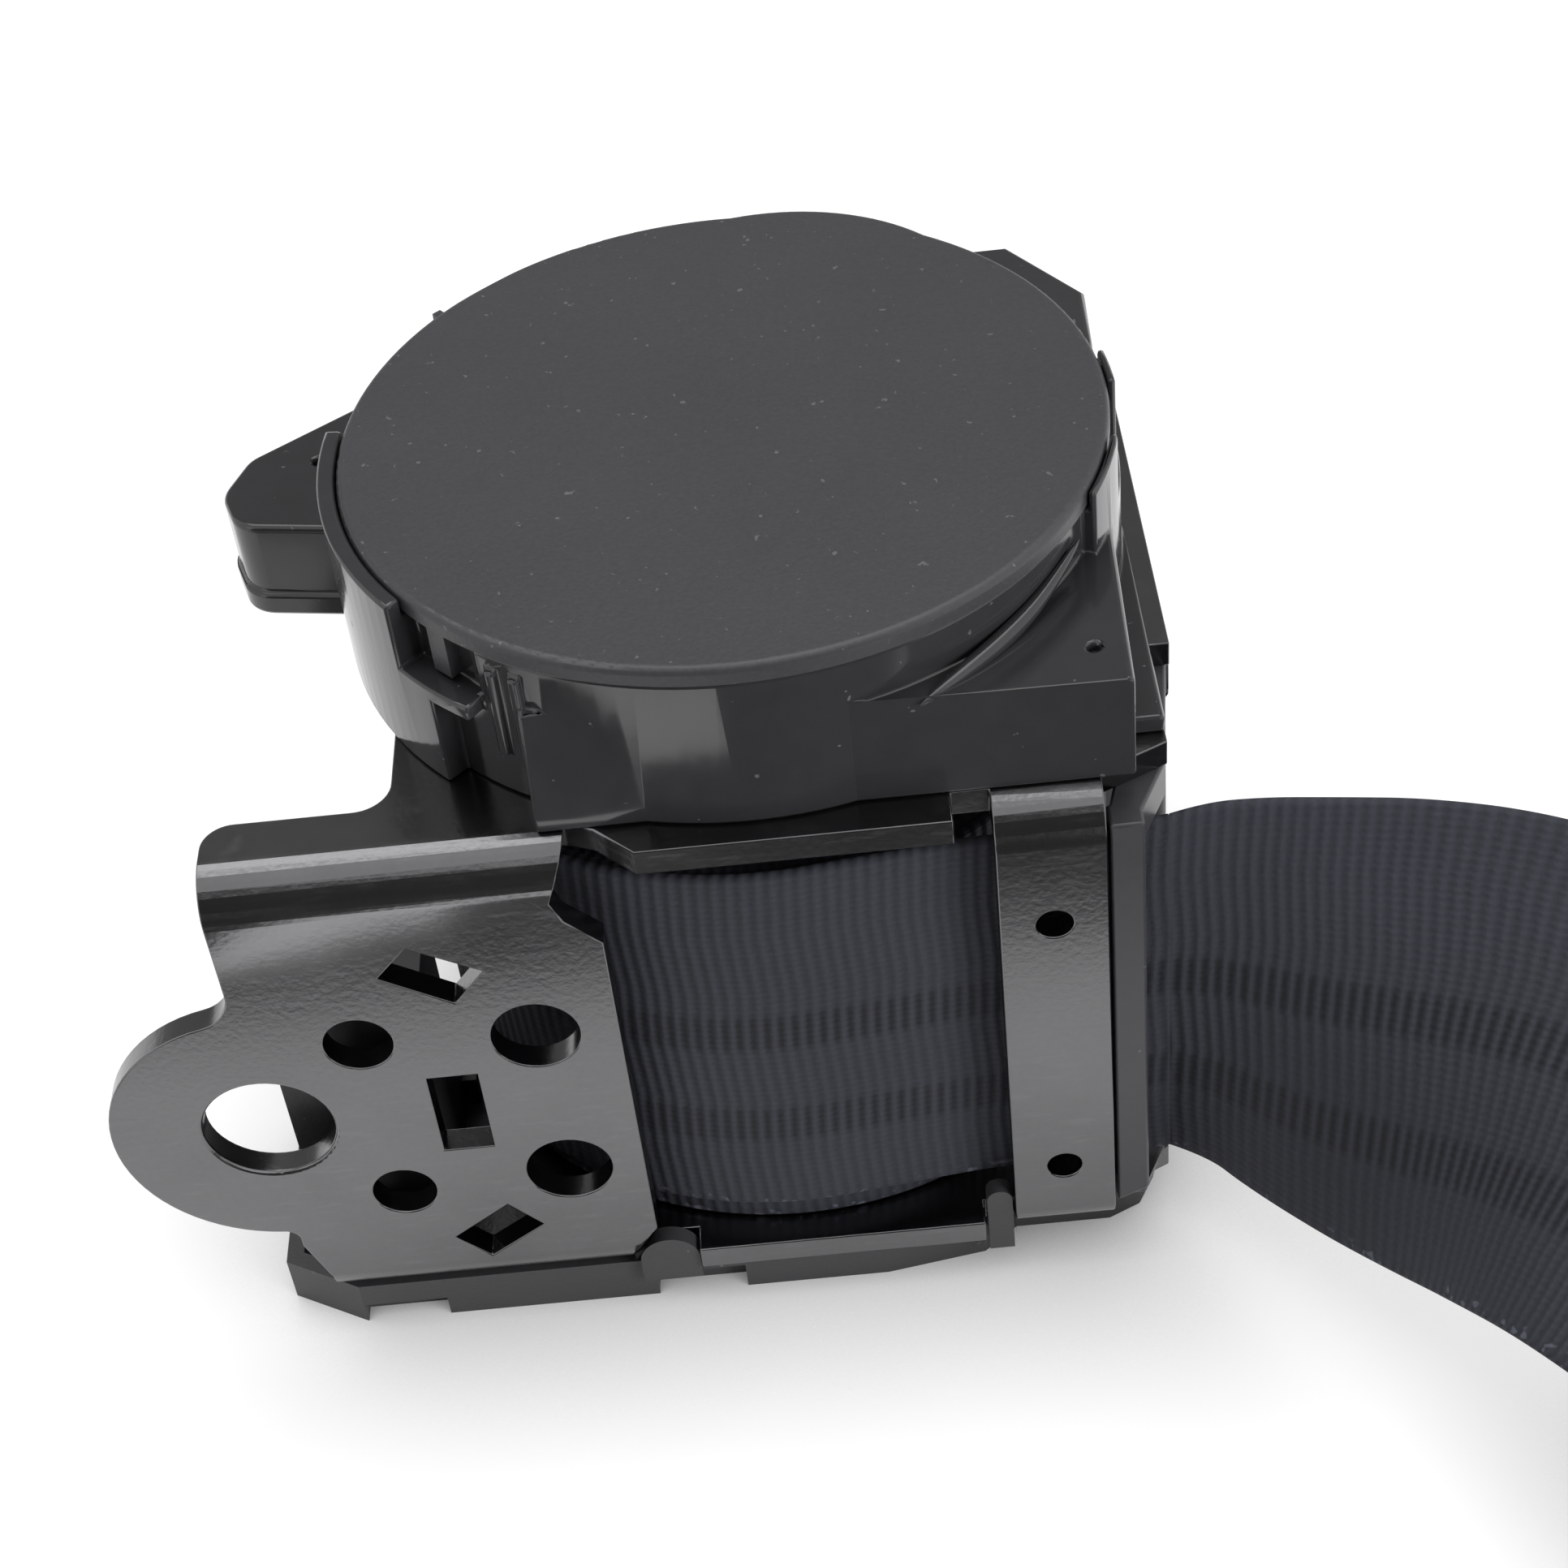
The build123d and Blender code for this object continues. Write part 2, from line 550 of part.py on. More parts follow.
def make_pawl_pin():
    x, y = PAWL_AT
    pin = disc(PIN_R, Z_DISC + 1.1, Z_TOP, x, y) + disc(PIN_R + 0.8, Z_DISC + 1.1, Z_RATCHET + 0.1, x, y)
    return pin + disc(PIN_R + 1.2, Z_TOP, Z_TOP + 1.0, x, y)


def make_pawl_spring():
    """Torsion spring round the pawl pin, between the pawl and the flange, with two short legs."""
    x, y = PAWL_AT
    wire = 0.35
    radius = PIN_R + wire
    path = CenterArc((0, 0), radius, -60, 240)
    legs = [Line(path @ 0, path @ 0 - path % 0 * 8.0), Line(path @ 1, path @ 1 + path % 1 * 6.0)]
    coil = sweep(Plane(origin=path @ 0, z_dir=path % 0) * Circle(wire), path)
    for leg in legs:
        coil += sweep(Plane(origin=leg @ 0, z_dir=leg % 0) * Circle(wire), leg)
    return Pos(x, y, Z_CEIL - wire) * coil


# Vehicle sensor in the ear: a steel ball in a cup, with a lever to the pilot wheel
BALL_R = 3.6
BALL_AT = (-43.2, 7.0)
CUP_FLOOR = 1.2
CUP_GAP = 0.3
CUP_ANGLE = 55.0
BALL_Z = Z_TOP + CUP_FLOOR + CUP_GAP + BALL_R
LEVER_SWING = 8.5
LEVER_DROP = 11.7
FINGER_W = 0.8
POST_R = 0.9


def make_sensor_cup():
    x, y = BALL_AT
    base = ear_room(Z_TOP, Z_TOP + CUP_FLOOR) - disc(PILOT_R + 1.5, Z_TOP - 1, Z_BLOCK)
    seat = block(x - 6.0, x - 0.8, y - 6.0, y + 6.0, Z_TOP, BALL_Z + BALL_R)
    seat &= ear_room(Z_TOP, Z_BLOCK - EAR_WALL)
    slope = math.tan(math.radians(CUP_ANGLE))
    apex = -(BALL_R + CUP_GAP) / math.sin(math.radians(CUP_ANGLE))
    deep = 6.0
    cone = Cone(0.001, deep * slope, deep, align=(Align.CENTER, Align.CENTER, Align.MIN))
    seat -= Pos(x + apex, y, BALL_Z) * Rot(0, 90, 0) * cone
    seat -= Pos(x, y, BALL_Z) * Sphere(BALL_R + CUP_GAP)
    body = base + seat
    px, py = LEVER_AT
    body += disc(POST_R + 0.9, Z_TOP, Z_TOP + CUP_FLOOR + 0.3, px, py)
    body += disc(POST_R, Z_TOP, Z_TOP + CUP_FLOOR + 6.4, px, py)
    return body


def make_sensor_ball():
    return Pos(*BALL_AT, BALL_Z) * Sphere(BALL_R)


def finger_corners():
    """End of the lever's finger at rest, relative to its pivot: upper corner, then lower corner."""
    end_y = LEVER_AT[1] - LEVER_DROP
    end_x = -math.sqrt((PILOT_R + 0.5) ** 2 - end_y**2) - LEVER_AT[0]
    return [(end_x, -LEVER_DROP + FINGER_W / 2), (end_x, -LEVER_DROP - FINGER_W / 2)]


def finger_angle():
    """Where the upper corner stands round the spool axis at full swing, in degrees."""
    a = math.radians(LEVER_SWING)
    dx, dy = finger_corners()[0]
    x = LEVER_AT[0] + dx * math.cos(a) - dy * math.sin(a)
    y = LEVER_AT[1] + dx * math.sin(a) + dy * math.cos(a)
    return math.degrees(math.atan2(y, x))


def make_sensor_lever():
    px, py = LEVER_AT
    z0 = Z_TOP + CUP_FLOOR + 0.5
    z1 = BALL_Z + 1.8
    left = BALL_AT[0] + BALL_R + 0.3 - px
    upper, lower = finger_corners()
    arm = prism([(left, 1.2), (left + 1.3, 1.2), (left + 1.3, upper[1]), (left, lower[1])], z0, z1)
    arm += disc(POST_R + 1.1, z0, z1)
    finger = prism([(left + 0.3, upper[1] + 0.9), upper, lower, (left + 0.3, lower[1])], z0, z0 + 2.0)
    body = arm + finger - disc(POST_R + RUN_FIT, z0 - 1, z1 + 1)
    return Pos(px, py, 0) * body


# Spiral mainspring of half-turn arcs, and the arbor that it winds on
SPRING_IN = 11.0
SPRING_PITCH = 2.4
SPRING_TURNS = 9
SPRING_T = 0.5
SPRING_H = 4.4


def spiral_edges(inset):
    """Half-turn arcs whose centres alternate, so that the strip grows by one pitch a turn."""
    edges = []
    for k in range(2 * SPRING_TURNS):
        radius = SPRING_IN + inset + SPRING_PITCH * (k / 2.0)
        centre = 0.0 if k % 2 == 0 else SPRING_PITCH / 2
        start = 0 if k % 2 == 0 else 180
        edges.append(CenterArc((centre, 0), radius, start, 180))
    return edges


def make_mainspring():
    inner, outer = spiral_edges(0.0), spiral_edges(SPRING_T)
    ends = [Line(inner[0] @ 0, outer[0] @ 0), Line(inner[-1] @ 1, outer[-1] @ 1)]
    face = make_face(inner + outer + ends)
    return Pos(0, 0, Z_SPRING + FLOOR_T) * extrude(face, SPRING_H)


def make_arbor():
    z0 = Z_SPRING + FLOOR_T + 0.3
    z1 = Z_DRUM - 0.6
    body = disc(SPRING_IN - 0.8, z0, z1) - disc(SHAFT_R, z0 - 1, z1 + 1)
    body += block(-0.95, 0.95, -SHAFT_R, SHAFT_R, z0 + 0.3, z1)
    hook = block(-SPRING_IN, -SHAFT_R - 1.5, -0.5, 0.5, z0 - 1, z1 + 1)
    return body - hook


# Lower bearing bush pressed into the lower flange
def make_bush():
    body = disc(BUSH_R, Z_LOW, Z_DECK) + disc(BUSH_R + 2.0, Z_LOW - 1.0, Z_LOW)
    return body - disc(SHAFT_R + RUN_FIT, 0, Z_DECK + 1)


# Plastic web guide: a ring that the webbing leaves through
GUIDE_X0 = STRAP_RIGHT + 0.3
GUIDE_X1 = 40.6
GUIDE_FRONT = -39.0
GUIDE_BAR = 1.0
GUIDE_TOP_BAR = 4.4


def make_web_guide():
    mid = (Z_DECK + Z_CEIL) / 2
    front = block(GUIDE_X0, 35.5, GUIDE_FRONT, -36.0, Z_DECK, Z_CEIL)
    front -= front_prism([(GUIDE_X0 - 1, Z_DECK - 1), (36, Z_DECK - 1), (36, Z_DECK + 3.2), (GUIDE_X0 - 1, Z_DECK + 0.8)],
                         GUIDE_FRONT - 1, -37.2)
    front = round_edges(front, 0.9, lambda e: e.center().X > 35.3 and abs(e.center().Z - mid) < 1)
    rear = block(36.0, GUIDE_X1, -17.0, -13.8, Z_DECK, Z_CEIL)
    rear = round_edges(rear, 1.2, lambda e: e.center().Y < -16.9 and abs(e.center().Z - mid) < 1)
    foot = [(GUIDE_X0, -37.0), (35.5, -37.0), (38.4, -31.0), (GUIDE_X1, -16.0), (36.0, -16.0), (33.9, -31.0)]
    return front + rear + prism(foot, Z_DECK, Z_DECK + GUIDE_BAR) + prism(foot, Z_CEIL - GUIDE_TOP_BAR, Z_CEIL)


# Thread-forming screws: one kind, three under the tray and three under the upper flange
def screw(x, y, z, length):
    """Pan-head screw pointing up, its head's underside at z."""
    body = disc(SCREW_HEAD_R, z - SCREW_HEAD_T, z, x, y) + disc(SCREW_R, z, z + length, x, y)
    socket = Pos(x, y, z - SCREW_HEAD_T) * extrude(RegularPolygon(1.5, 6), 1.2, dir=(0, 0, 1))
    return body - socket


def make_screws_low():
    z = SCREW_HEAD_T + 0.2
    return Part() + [screw(x, y, z, Z_DECK - z) for x, y in SCREWS_LOW]


def make_screws_top():
    return Part() + [screw(x, y, Z_CEIL, SHEET + 4.6) for x, y in SCREWS_TOP]


# Webbing: the wound roll, the lead to the guide, and the free run with its fittings
EXIT = (38.5, -32.8)
EXIT_LIFT = 2.0
EXIT_HEADING = -3.0
LEAD_START = -130.0


def make_roll():
    return disc(ROLL_R, Z_ROLL, Z_ROLL_TOP) - disc(CORE_R, Z_ROLL - 1, Z_ROLL_TOP + 1)


def section(x, y, z, heading, climb, lean):
    """Thin rectangle of the webbing: centre, heading, climb, and lean back of its upper edge."""
    a, b, c = math.radians(heading), math.radians(climb), math.radians(lean)
    t = Vector(math.cos(b) * math.cos(a), math.cos(b) * math.sin(a), math.sin(b))
    up = (Vector(0, 0, 1) - t * t.Z).normalized()
    across = up * math.cos(c) - t.cross(up) * math.sin(c)
    return Plane(origin=(x, y, z), x_dir=across, z_dir=t) * Rectangle(WEB_W, WEB_T)


def make_lead():
    """Last wrap round the roll, then straight to the guide."""
    away = math.hypot(*EXIT)
    leave = math.degrees(math.atan2(EXIT[1], EXIT[0]) - math.acos(LEAD_R / away))
    arc = CenterArc((0, 0), LEAD_R, LEAD_START, leave - LEAD_START)
    wrap = sweep(Plane(origin=arc @ 0, z_dir=arc % 0, x_dir=(0, 0, 1)) * Rectangle(WEB_W, WEB_T), arc)
    wrap = Pos(0, 0, Z_ROLL + WEB_W / 2) * wrap
    x, y = polar(LEAD_R, leave)
    z = Z_ROLL + WEB_W / 2
    run = loft([section(x, y, z, leave + 90, 0, 0), section(*EXIT, z + EXIT_LIFT, EXIT_HEADING, 0, 0)], ruled=True)
    return wrap + run


# Centre, heading, climb and lean of the free webbing, from the guide down to the floor
ROUTE = [
    (*EXIT, 34.3, EXIT_HEADING, 0, 0),
    (42.2, -33.5, 34.4, -13, 1, 4),
    (46.0, -35.1, 34.0, -22, 2, 10),
    (53.1, -38.9, 33.9, -27, 6, 20),
    (60.1, -42.6, 34.6, -30, 9, 31),
    (66.8, -46.8, 35.9, -35, 8, 41),
    (73.0, -51.7, 36.9, -42, 5, 50),
    (78.8, -57.2, 37.0, -45, -2, 58),
    (84.6, -63.2, 35.6, -46, -14, 66),
    (90.4, -69.2, 32.6, -46, -25, 73),
    (96.1, -75.1, 28.0, -46, -33, 79),
    (101.8, -81.0, 22.0, -46, -37, 84),
    (107.7, -87.1, 15.6, -46, -35, 88),
    (114.1, -93.7, 9.6, -46, -28, 90),
    (121.2, -101.0, 4.8, -46, -20, 90),
    (129.0, -109.1, 1.7, -46, -10, 90),
    (136.6, -117.0, 0.65, -46, 0, 90),
]
LAND = ROUTE[-1]
FLAT_Z = 0.65
PLY = FLAT_Z + WEB_T / 2
RUN_OUT = 180.0


def make_free():
    return loft([section(*place) for place in ROUTE], ruled=True)


def bend_radii():
    """Radius of the circle through each three neighbouring centres of the route."""
    radii = []
    for a, b, c in zip(ROUTE, ROUTE[1:], ROUTE[2:]):
        pa, pb, pc = (Vector(*place[:3]) for place in (a, b, c))
        area = (pb - pa).cross(pc - pa).length / 2
        radii.append((pb - pa).length * (pc - pb).length * (pc - pa).length / max(4 * area, 1e-6))
    return radii


def on_flat(shape):
    """Places a shape drawn on the flat run: X along the webbing, Y across it, Z up from the floor."""
    a = math.radians(LAND[3])
    frame = Plane(origin=(LAND[0], LAND[1], 0), x_dir=(math.cos(a), math.sin(a), 0), z_dir=(0, 0, 1))
    return frame.location * shape


def side_prism(points, width):
    """Outline in X and Z, made as wide as width across the webbing."""
    face = make_face(Plane.XZ * Polyline(*points, close=True))
    return extrude(face, width / 2, both=True)


TONGUE_X = 48.0
BAR_L = 7.0
SLOT_L = 9.5
TONGUE_T = 4.2
TONGUE_Z = PLY
STEEL_T = 2.2
STEEL_Z = TONGUE_Z + (TONGUE_T - STEEL_T) / 2
ANCHOR_T = 2.5
ANCHOR_BAR = 6.0
ANCHOR_SLOT = 7.0
ANCHOR_HOLE_R = 6.2


def flat_line():
    """Centre of the flat run seen from the side: over the tongue's bar and down through its slot."""
    x, top = TONGUE_X, TONGUE_Z + TONGUE_T + WEB_T / 2
    return [
        (0, FLAT_Z), (x - 20, FLAT_Z), (x - 12, FLAT_Z + 0.9), (x - 6, top - 1.9), (x - 1.2, top - 0.05),
        (x + 1, top), (x + 6.6, top), (x + 8.6, top - 0.8), (x + 13.0, FLAT_Z + 0.9), (x + 15.3, FLAT_Z),
    ]


def make_flat_run():
    """The run on the floor, its end folded round the anchor's bar and sewn back on itself."""
    line = flat_line()
    top = [(x, z + WEB_T / 2) for x, z in line]
    low = [(x, z - WEB_T / 2) for x, z in line]
    end, high = RUN_OUT, PLY + ANCHOR_T
    fold = end + ANCHOR_BAR + 0.6
    outer = top + [
        (end - 42, PLY), (end - 42, PLY + WEB_T), (end - 12, PLY + WEB_T), (end - 1.5, high + WEB_T),
        (fold, high + WEB_T), (fold + 1.2, high), (fold + 1.5, PLY), (fold + 0.6, PLY - WEB_T),
    ]
    body = side_prism(outer + low[::-1], WEB_W)
    pocket = [(end - 9, PLY), (end - 0.6, high), (fold - 0.6, high), (fold, high - 0.8), (fold, PLY)]
    return on_flat(body - side_prism(pocket, WEB_W + 2))


# Tongue: steel plate with a latch window, and the moulded grip around its slot
def make_tongue_plate():
    face = Pos(BAR_L + SLOT_L + 10, 0) * Rectangle(2 * (SLOT_L + 15.5), 60.0) + Pos(66.0, 0) * Rectangle(38.0, 25.0)
    face = fillet([v for v in face.vertices() if v.X > 84], 7.0)
    face = fillet([v for v in face.vertices() if v.X < 60 and abs(v.Y) > 20], 8.0)
    face -= Pos(BAR_L + SLOT_L / 2, 0) * Rectangle(SLOT_L + 2, WEB_W + 5)
    face -= Pos(70.0, 0) * fillet(Rectangle(11.0, 13.0).vertices(), 2.0)
    return on_flat(Pos(TONGUE_X, 0, STEEL_Z) * extrude(face, STEEL_T))


def make_tongue_cover():
    length = 56.0
    shell = Pos(length / 2, 0, TONGUE_T / 2) * Box(length, 66.0, TONGUE_T)
    shell = fillet(shell.edges().filter_by(Axis.Z), 9.0)
    shell = fillet([e for e in shell.edges() if abs(e.center().Z - TONGUE_T) < 0.05], 1.2)
    shell -= Pos(BAR_L + SLOT_L / 2, 0, TONGUE_T / 2) * Box(SLOT_L, WEB_W + 3, TONGUE_T + 2)
    shell = fillet([e for e in shell.edges().filter_by(Axis.Y)
                    if abs(e.center().X - BAR_L) < 0.1 and e.center().Z > TONGUE_T - 0.1], 1.0)
    return on_flat(Pos(TONGUE_X, 0, TONGUE_Z) * shell) - make_tongue_plate()


def make_tongue_stop():
    """Snap button through the webbing, ahead of the tongue."""
    return on_flat(disc(4.5, PLY, PLY + 1.8, 14.0, 0))


# End anchor: cranked plate with a bolt hole, held in the sewn loop of the webbing
def make_end_anchor():
    tail = ANCHOR_BAR + ANCHOR_SLOT
    face = Pos(tail / 2 + 2, 0) * Rectangle(tail + 4, 58.0) + Pos(40.0, 0) * Circle(16.0)
    face += make_face(Polyline((tail + 3, -28.0), (tail + 3, 28.0), (42.0, 15.8), (42.0, -15.8), close=True))
    face = fillet([v for v in face.vertices() if v.X < 1], 4.0)
    face -= Pos(ANCHOR_BAR + ANCHOR_SLOT / 2, 0) * fillet(Rectangle(ANCHOR_SLOT, WEB_W + 3).vertices(), 2.0)
    face -= Pos(40.0, 0) * Circle(ANCHOR_HOLE_R)
    side = [(-1, PLY), (tail + 3, PLY), (tail + 9, 0), (60, 0), (60, ANCHOR_T), (tail + 9.5, ANCHOR_T),
            (tail + 3.5, PLY + ANCHOR_T), (-1, PLY + ANCHOR_T)]
    plate = extrude(face, 20) & side_prism(side, 80)
    return on_flat(Pos(RUN_OUT, 0, 0) * plate)


PARTS = {
    "frame": make_frame,
    "lower_cover": make_lower_cover,
    "mechanism_housing": make_mechanism_housing,
    "spring_cover": make_spring_cover,
    "spool": make_spool,
    "torsion_shaft": make_shaft,
    "ratchet_wheel": make_ratchet,
    "pilot_wheel": make_pilot_wheel,
    "lock_pawl": make_pawl,
    "pawl_pin": make_pawl_pin,
    "pawl_spring": make_pawl_spring,
    "sensor_cup": make_sensor_cup,
    "sensor_ball": make_sensor_ball,
    "sensor_lever": make_sensor_lever,
    "mainspring": make_mainspring,
    "spring_arbor": make_arbor,
    "lower_bush": make_bush,
    "web_guide": make_web_guide,
    "screws_low": make_screws_low,
    "screws_top": make_screws_top,
    "webbing_roll": make_roll,
    "webbing_lead": make_lead,
    "webbing_free": make_free,
    "webbing_flat": make_flat_run,
    "tongue_plate": make_tongue_plate,
    "tongue_cover": make_tongue_cover,
    "tongue_stop": make_tongue_stop,
    "end_anchor": make_end_anchor,
}

for name, make in PARTS.items():
    write(name, make())

print("bend radii of the free webbing in mm:", [round(r) for r in bend_radii()])
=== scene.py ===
import math

import bmesh
import bpy
import numpy as np
from mathutils import Matrix


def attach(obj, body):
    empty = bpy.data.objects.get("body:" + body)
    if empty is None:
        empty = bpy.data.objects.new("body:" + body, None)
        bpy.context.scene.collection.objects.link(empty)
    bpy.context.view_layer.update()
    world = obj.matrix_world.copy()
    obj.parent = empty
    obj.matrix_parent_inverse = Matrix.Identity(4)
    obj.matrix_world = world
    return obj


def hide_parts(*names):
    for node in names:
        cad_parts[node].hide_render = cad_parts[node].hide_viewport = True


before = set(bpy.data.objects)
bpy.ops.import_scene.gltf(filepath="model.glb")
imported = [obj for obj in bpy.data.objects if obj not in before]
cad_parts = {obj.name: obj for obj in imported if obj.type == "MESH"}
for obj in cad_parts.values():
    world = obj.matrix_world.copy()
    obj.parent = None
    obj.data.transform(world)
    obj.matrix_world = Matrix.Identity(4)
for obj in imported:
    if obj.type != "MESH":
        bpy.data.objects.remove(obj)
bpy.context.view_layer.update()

# Camera: looks down on the mounting plate at 42 degrees from the front, close to the retractor,
# with the horizon tilted 7 degrees. Its rows are right, up and forward in the part's own frame.
camera_at = (0.02352, -0.22907, 0.24402)
camera_right = (0.99480778, -0.0448291, -0.09136652)
camera_up = (0.09784363, 0.66830053, 0.73742866)
camera_forward = (-0.02800203, 0.74253939, -0.66921681)
lens = bpy.data.cameras.new("camera")
lens.sensor_width = 36.0
lens.lens = 66.32
lens.clip_start = 0.01
camera = bpy.data.objects.new("camera", lens)
turn = Matrix((camera_right, camera_up, [-c for c in camera_forward])).transposed()
camera.matrix_world = Matrix.Translation(camera_at) @ turn.to_4x4()
bpy.context.scene.collection.objects.link(camera)
bpy.context.scene.camera = camera
bpy.context.scene.view_settings.view_transform = "Standard"


# Free webbing: a woven polyester strap with rounded selvages. It leaves the guide standing on edge,
# leans over as it falls, lies flat, climbs over the tongue's bar, and folds back round the bar of the
# end anchor, where it is sewn to itself.
class Wire:
    """One output of a shader node. Arithmetic on it adds Math nodes to the same tree."""

    def __init__(self, owner, socket):
        self.owner = owner
        self.socket = socket

    def __add__(self, other):
        return self.owner.math("ADD", self, other)

    def __sub__(self, other):
        return self.owner.math("SUBTRACT", self, other)

    def __rsub__(self, other):
        return self.owner.math("SUBTRACT", other, self)

    def __mul__(self, other):
        return self.owner.math("MULTIPLY", self, other)

    __radd__ = __add__
    __rmul__ = __mul__

    def twin(self, output):
        """Another output of the same node."""
        return Wire(self.owner, self.socket.node.outputs[output])

    def wave(self, pitch):
        """Sine wave that repeats every pitch, from -1 to 1."""
        return self.owner.math("SINE", self * (math.tau / pitch))

    def ramp(self, low, high):
        """0 below low and 1 above high, smooth between them; falls instead where low is the greater."""
        inputs = {"Value": self, "From Min": low, "From Max": high}
        return self.owner.node("ShaderNodeMapRange", {"interpolation_type": "SMOOTHSTEP"}, inputs)


class Tree:
    """A node tree. node() adds any node, its settings before its inputs."""

    def __init__(self, tree):
        self.tree = tree

    def plug(self, socket, value):
        if isinstance(value, Wire):
            self.tree.links.new(value.socket, socket)
        else:
            socket.default_value = value

    def node(self, kind, settings, inputs, output=0):
        made = self.tree.nodes.new(kind)
        for key, value in settings.items():
            setattr(made, key, value)
        for key, value in inputs.items():
            self.plug(made.inputs[key], value)
        return Wire(self, made.outputs[output])

    def math(self, operation, *values):
        return self.node("ShaderNodeMath", {"operation": operation}, dict(enumerate(values)))


class Finish(Tree):
    """A material around one Principled BSDF. Other sockets of it are named with _ for each space."""

    def __init__(self, name, color, roughness, **constants):
        self.material = bpy.data.materials.new(name)
        self.material.use_nodes = True
        super().__init__(self.material.node_tree)
        self.shader = self.tree.nodes["Principled BSDF"]
        self.color = color
        self.shader.inputs["Base Color"].default_value = (*color, 1.0)
        self.shader.inputs["Roughness"].default_value = roughness
        for socket, value in constants.items():
            self.shader.inputs[socket.replace("_", " ")].default_value = value

    def place(self, stretch=(1, 1, 1), turned=(0, 0, 0)):
        """Object coordinates in metres, turned and stretched."""
        here = self.node("ShaderNodeTexCoord", {}, {}, "Object")
        return self.node("ShaderNodeMapping", {}, {"Vector": here, "Rotation": turned, "Scale": stretch})

    def noise(self, where, size, detail=2.0):
        """Soft noise from 0 to 1 with features of the given size in metres."""
        return self.node("ShaderNodeTexNoise", {}, {"Vector": where, "Scale": 1 / size, "Detail": detail})

    def shade(self, amount):
        """Base colour times an amount that varies over the surface."""
        tint = self.node("ShaderNodeVectorMath", {"operation": "SCALE"}, {0: self.color, "Scale": amount})
        self.plug(self.shader.inputs["Base Color"], tint)

    def rough(self, amount):
        self.plug(self.shader.inputs["Roughness"], amount)

    def relief(self, height, depth):
        """Raises the surface by depth metres where the height is 1."""
        bump = self.node("ShaderNodeBump", {}, {"Height": height, "Distance": depth, "Strength": 1.0})
        self.plug(self.shader.inputs["Normal"], bump)

    def glow(self, strength):
        """White light of the given strength, which comes from the surface itself."""
        return self.node("ShaderNodeEmission", {}, {"Color": (1, 1, 1, 1), "Strength": strength})

    def show(self, surface):
        """Lets another shader take the place of the plain one."""
        self.plug(self.tree.nodes["Material Output"].inputs["Surface"], surface)


web_wide = 0.0468
web_thick = 0.0012
rib_pitch = 0.00135
yarn_pitch = 0.00078
weave_depth = 0.00022
zigzag = 0.05
yarn_sway = 0.00006
fuzz_size = 0.0005
cloud_size = 0.02
lint_size = 0.0011
# Middles and half width of the two darker bands, as shares of the webbing's width, and how much of the
# half width is fully dark
band_middles = (0.55, 0.265)
band_half = 0.065
band_core = 0.55


def woven(name, color):
    """Ribs across the webbing and yarns along it, which zigzag a little, and two darker bands. The colour
    is paler on the ribs and yarns and darker between them, which is painted shade in the grooves and is
    stronger in the bands. Its
    UV map is in metres: along the webbing, then up from the low selvage, where pale specks of lint sit."""
    cloth = Finish(name, color, roughness=0.75, Sheen_Weight=0.03, Sheen_Roughness=0.5,
                   Specular_IOR_Level=0.35)
    uv = cloth.node("ShaderNodeTexCoord", {}, {}, "UV")
    along = cloth.node("ShaderNodeSeparateXYZ", {}, {"Vector": uv})
    across = along.twin("Y")
    herring = cloth.math("PINGPONG", across, web_wide / 6)
    ribs = (along + herring * zigzag).wave(rib_pitch)
    yarns = (across + ribs * yarn_sway).wave(yarn_pitch)
    where = cloth.place()
    fuzz = cloth.noise(where, fuzz_size, 3.0)
    cloud = cloth.noise(where, cloud_size)
    bands = 0.0
    for middle in band_middles:
        off = cloth.math("ABSOLUTE", across * (1 / web_wide) - middle)
        bands = off.ramp(band_half, band_half * band_core) + bands
    low_edge = across.ramp(0.0016, 0.0010)
    specks = cloth.noise(where, lint_size, 1.0).ramp(0.60, 0.68) * low_edge
    plain = ribs * 0.17 + yarns * 0.03 + fuzz * 0.40 + cloud * 0.3 + 0.78
    # Paler on the ribs and yarns and darker between them: painted shade in the grooves, stronger in the two
    # darker bands.
    cloth.shade(plain + bands * ribs * 0.26 - bands * 0.28 + specks * 2.2)
    cloth.relief(ribs * 0.32 + yarns * 0.06 + fuzz * 0.3, weave_depth)
    return cloth.material


def surface(name, points, uv, round_u=False, round_v=False, capped=False):
    """Mesh of a grid: point (i, j) is joined to its neighbours in both directions, and back to the first
    where a direction is round. In that direction uv has one more row or column. Caps close the ends."""
    rows, columns = points.shape[:2]
    i, j = np.meshgrid(np.arange(rows - 1 + round_u), np.arange(columns - 1 + round_v), indexing="ij")
    i, j = i.ravel(), j.ravel()
    corners = [(i, j), (i + 1, j), (i + 1, j + 1), (i, j + 1)]
    faces = np.stack([(a % rows) * columns + b % columns for a, b in corners], 1).tolist()
    corner_uv = np.stack([uv[a, b] for a, b in corners], 1).reshape(-1, 2)
    if capped:
        first = np.arange(columns)[::-1]
        faces += [first.tolist(), (np.arange(columns) + (rows - 1) * columns).tolist()]
        corner_uv = np.vstack([corner_uv, uv[0, first], uv[rows - 1, :columns]])
    mesh = bpy.data.meshes.new(name)
    mesh.from_pydata(points.reshape(-1, 3).tolist(), [], faces)
    mesh.uv_layers.new(name="UVMap").data.foreach_set("uv", corner_uv.ravel())
    return outward(mesh)


def outward(mesh, sharp=35.0):
    """Turns the faces outwards and shades smooth, creased where they meet at more than sharp degrees."""
    work = bmesh.new()
    work.from_mesh(mesh)
    bmesh.ops.recalc_face_normals(work, faces=work.faces)
    work.to_mesh(mesh)
    work.free()
    mesh.polygons.foreach_set("use_smooth", [True] * len(mesh.polygons))
    mesh.set_sharp_from_angle(angle=math.radians(sharp))
    return mesh


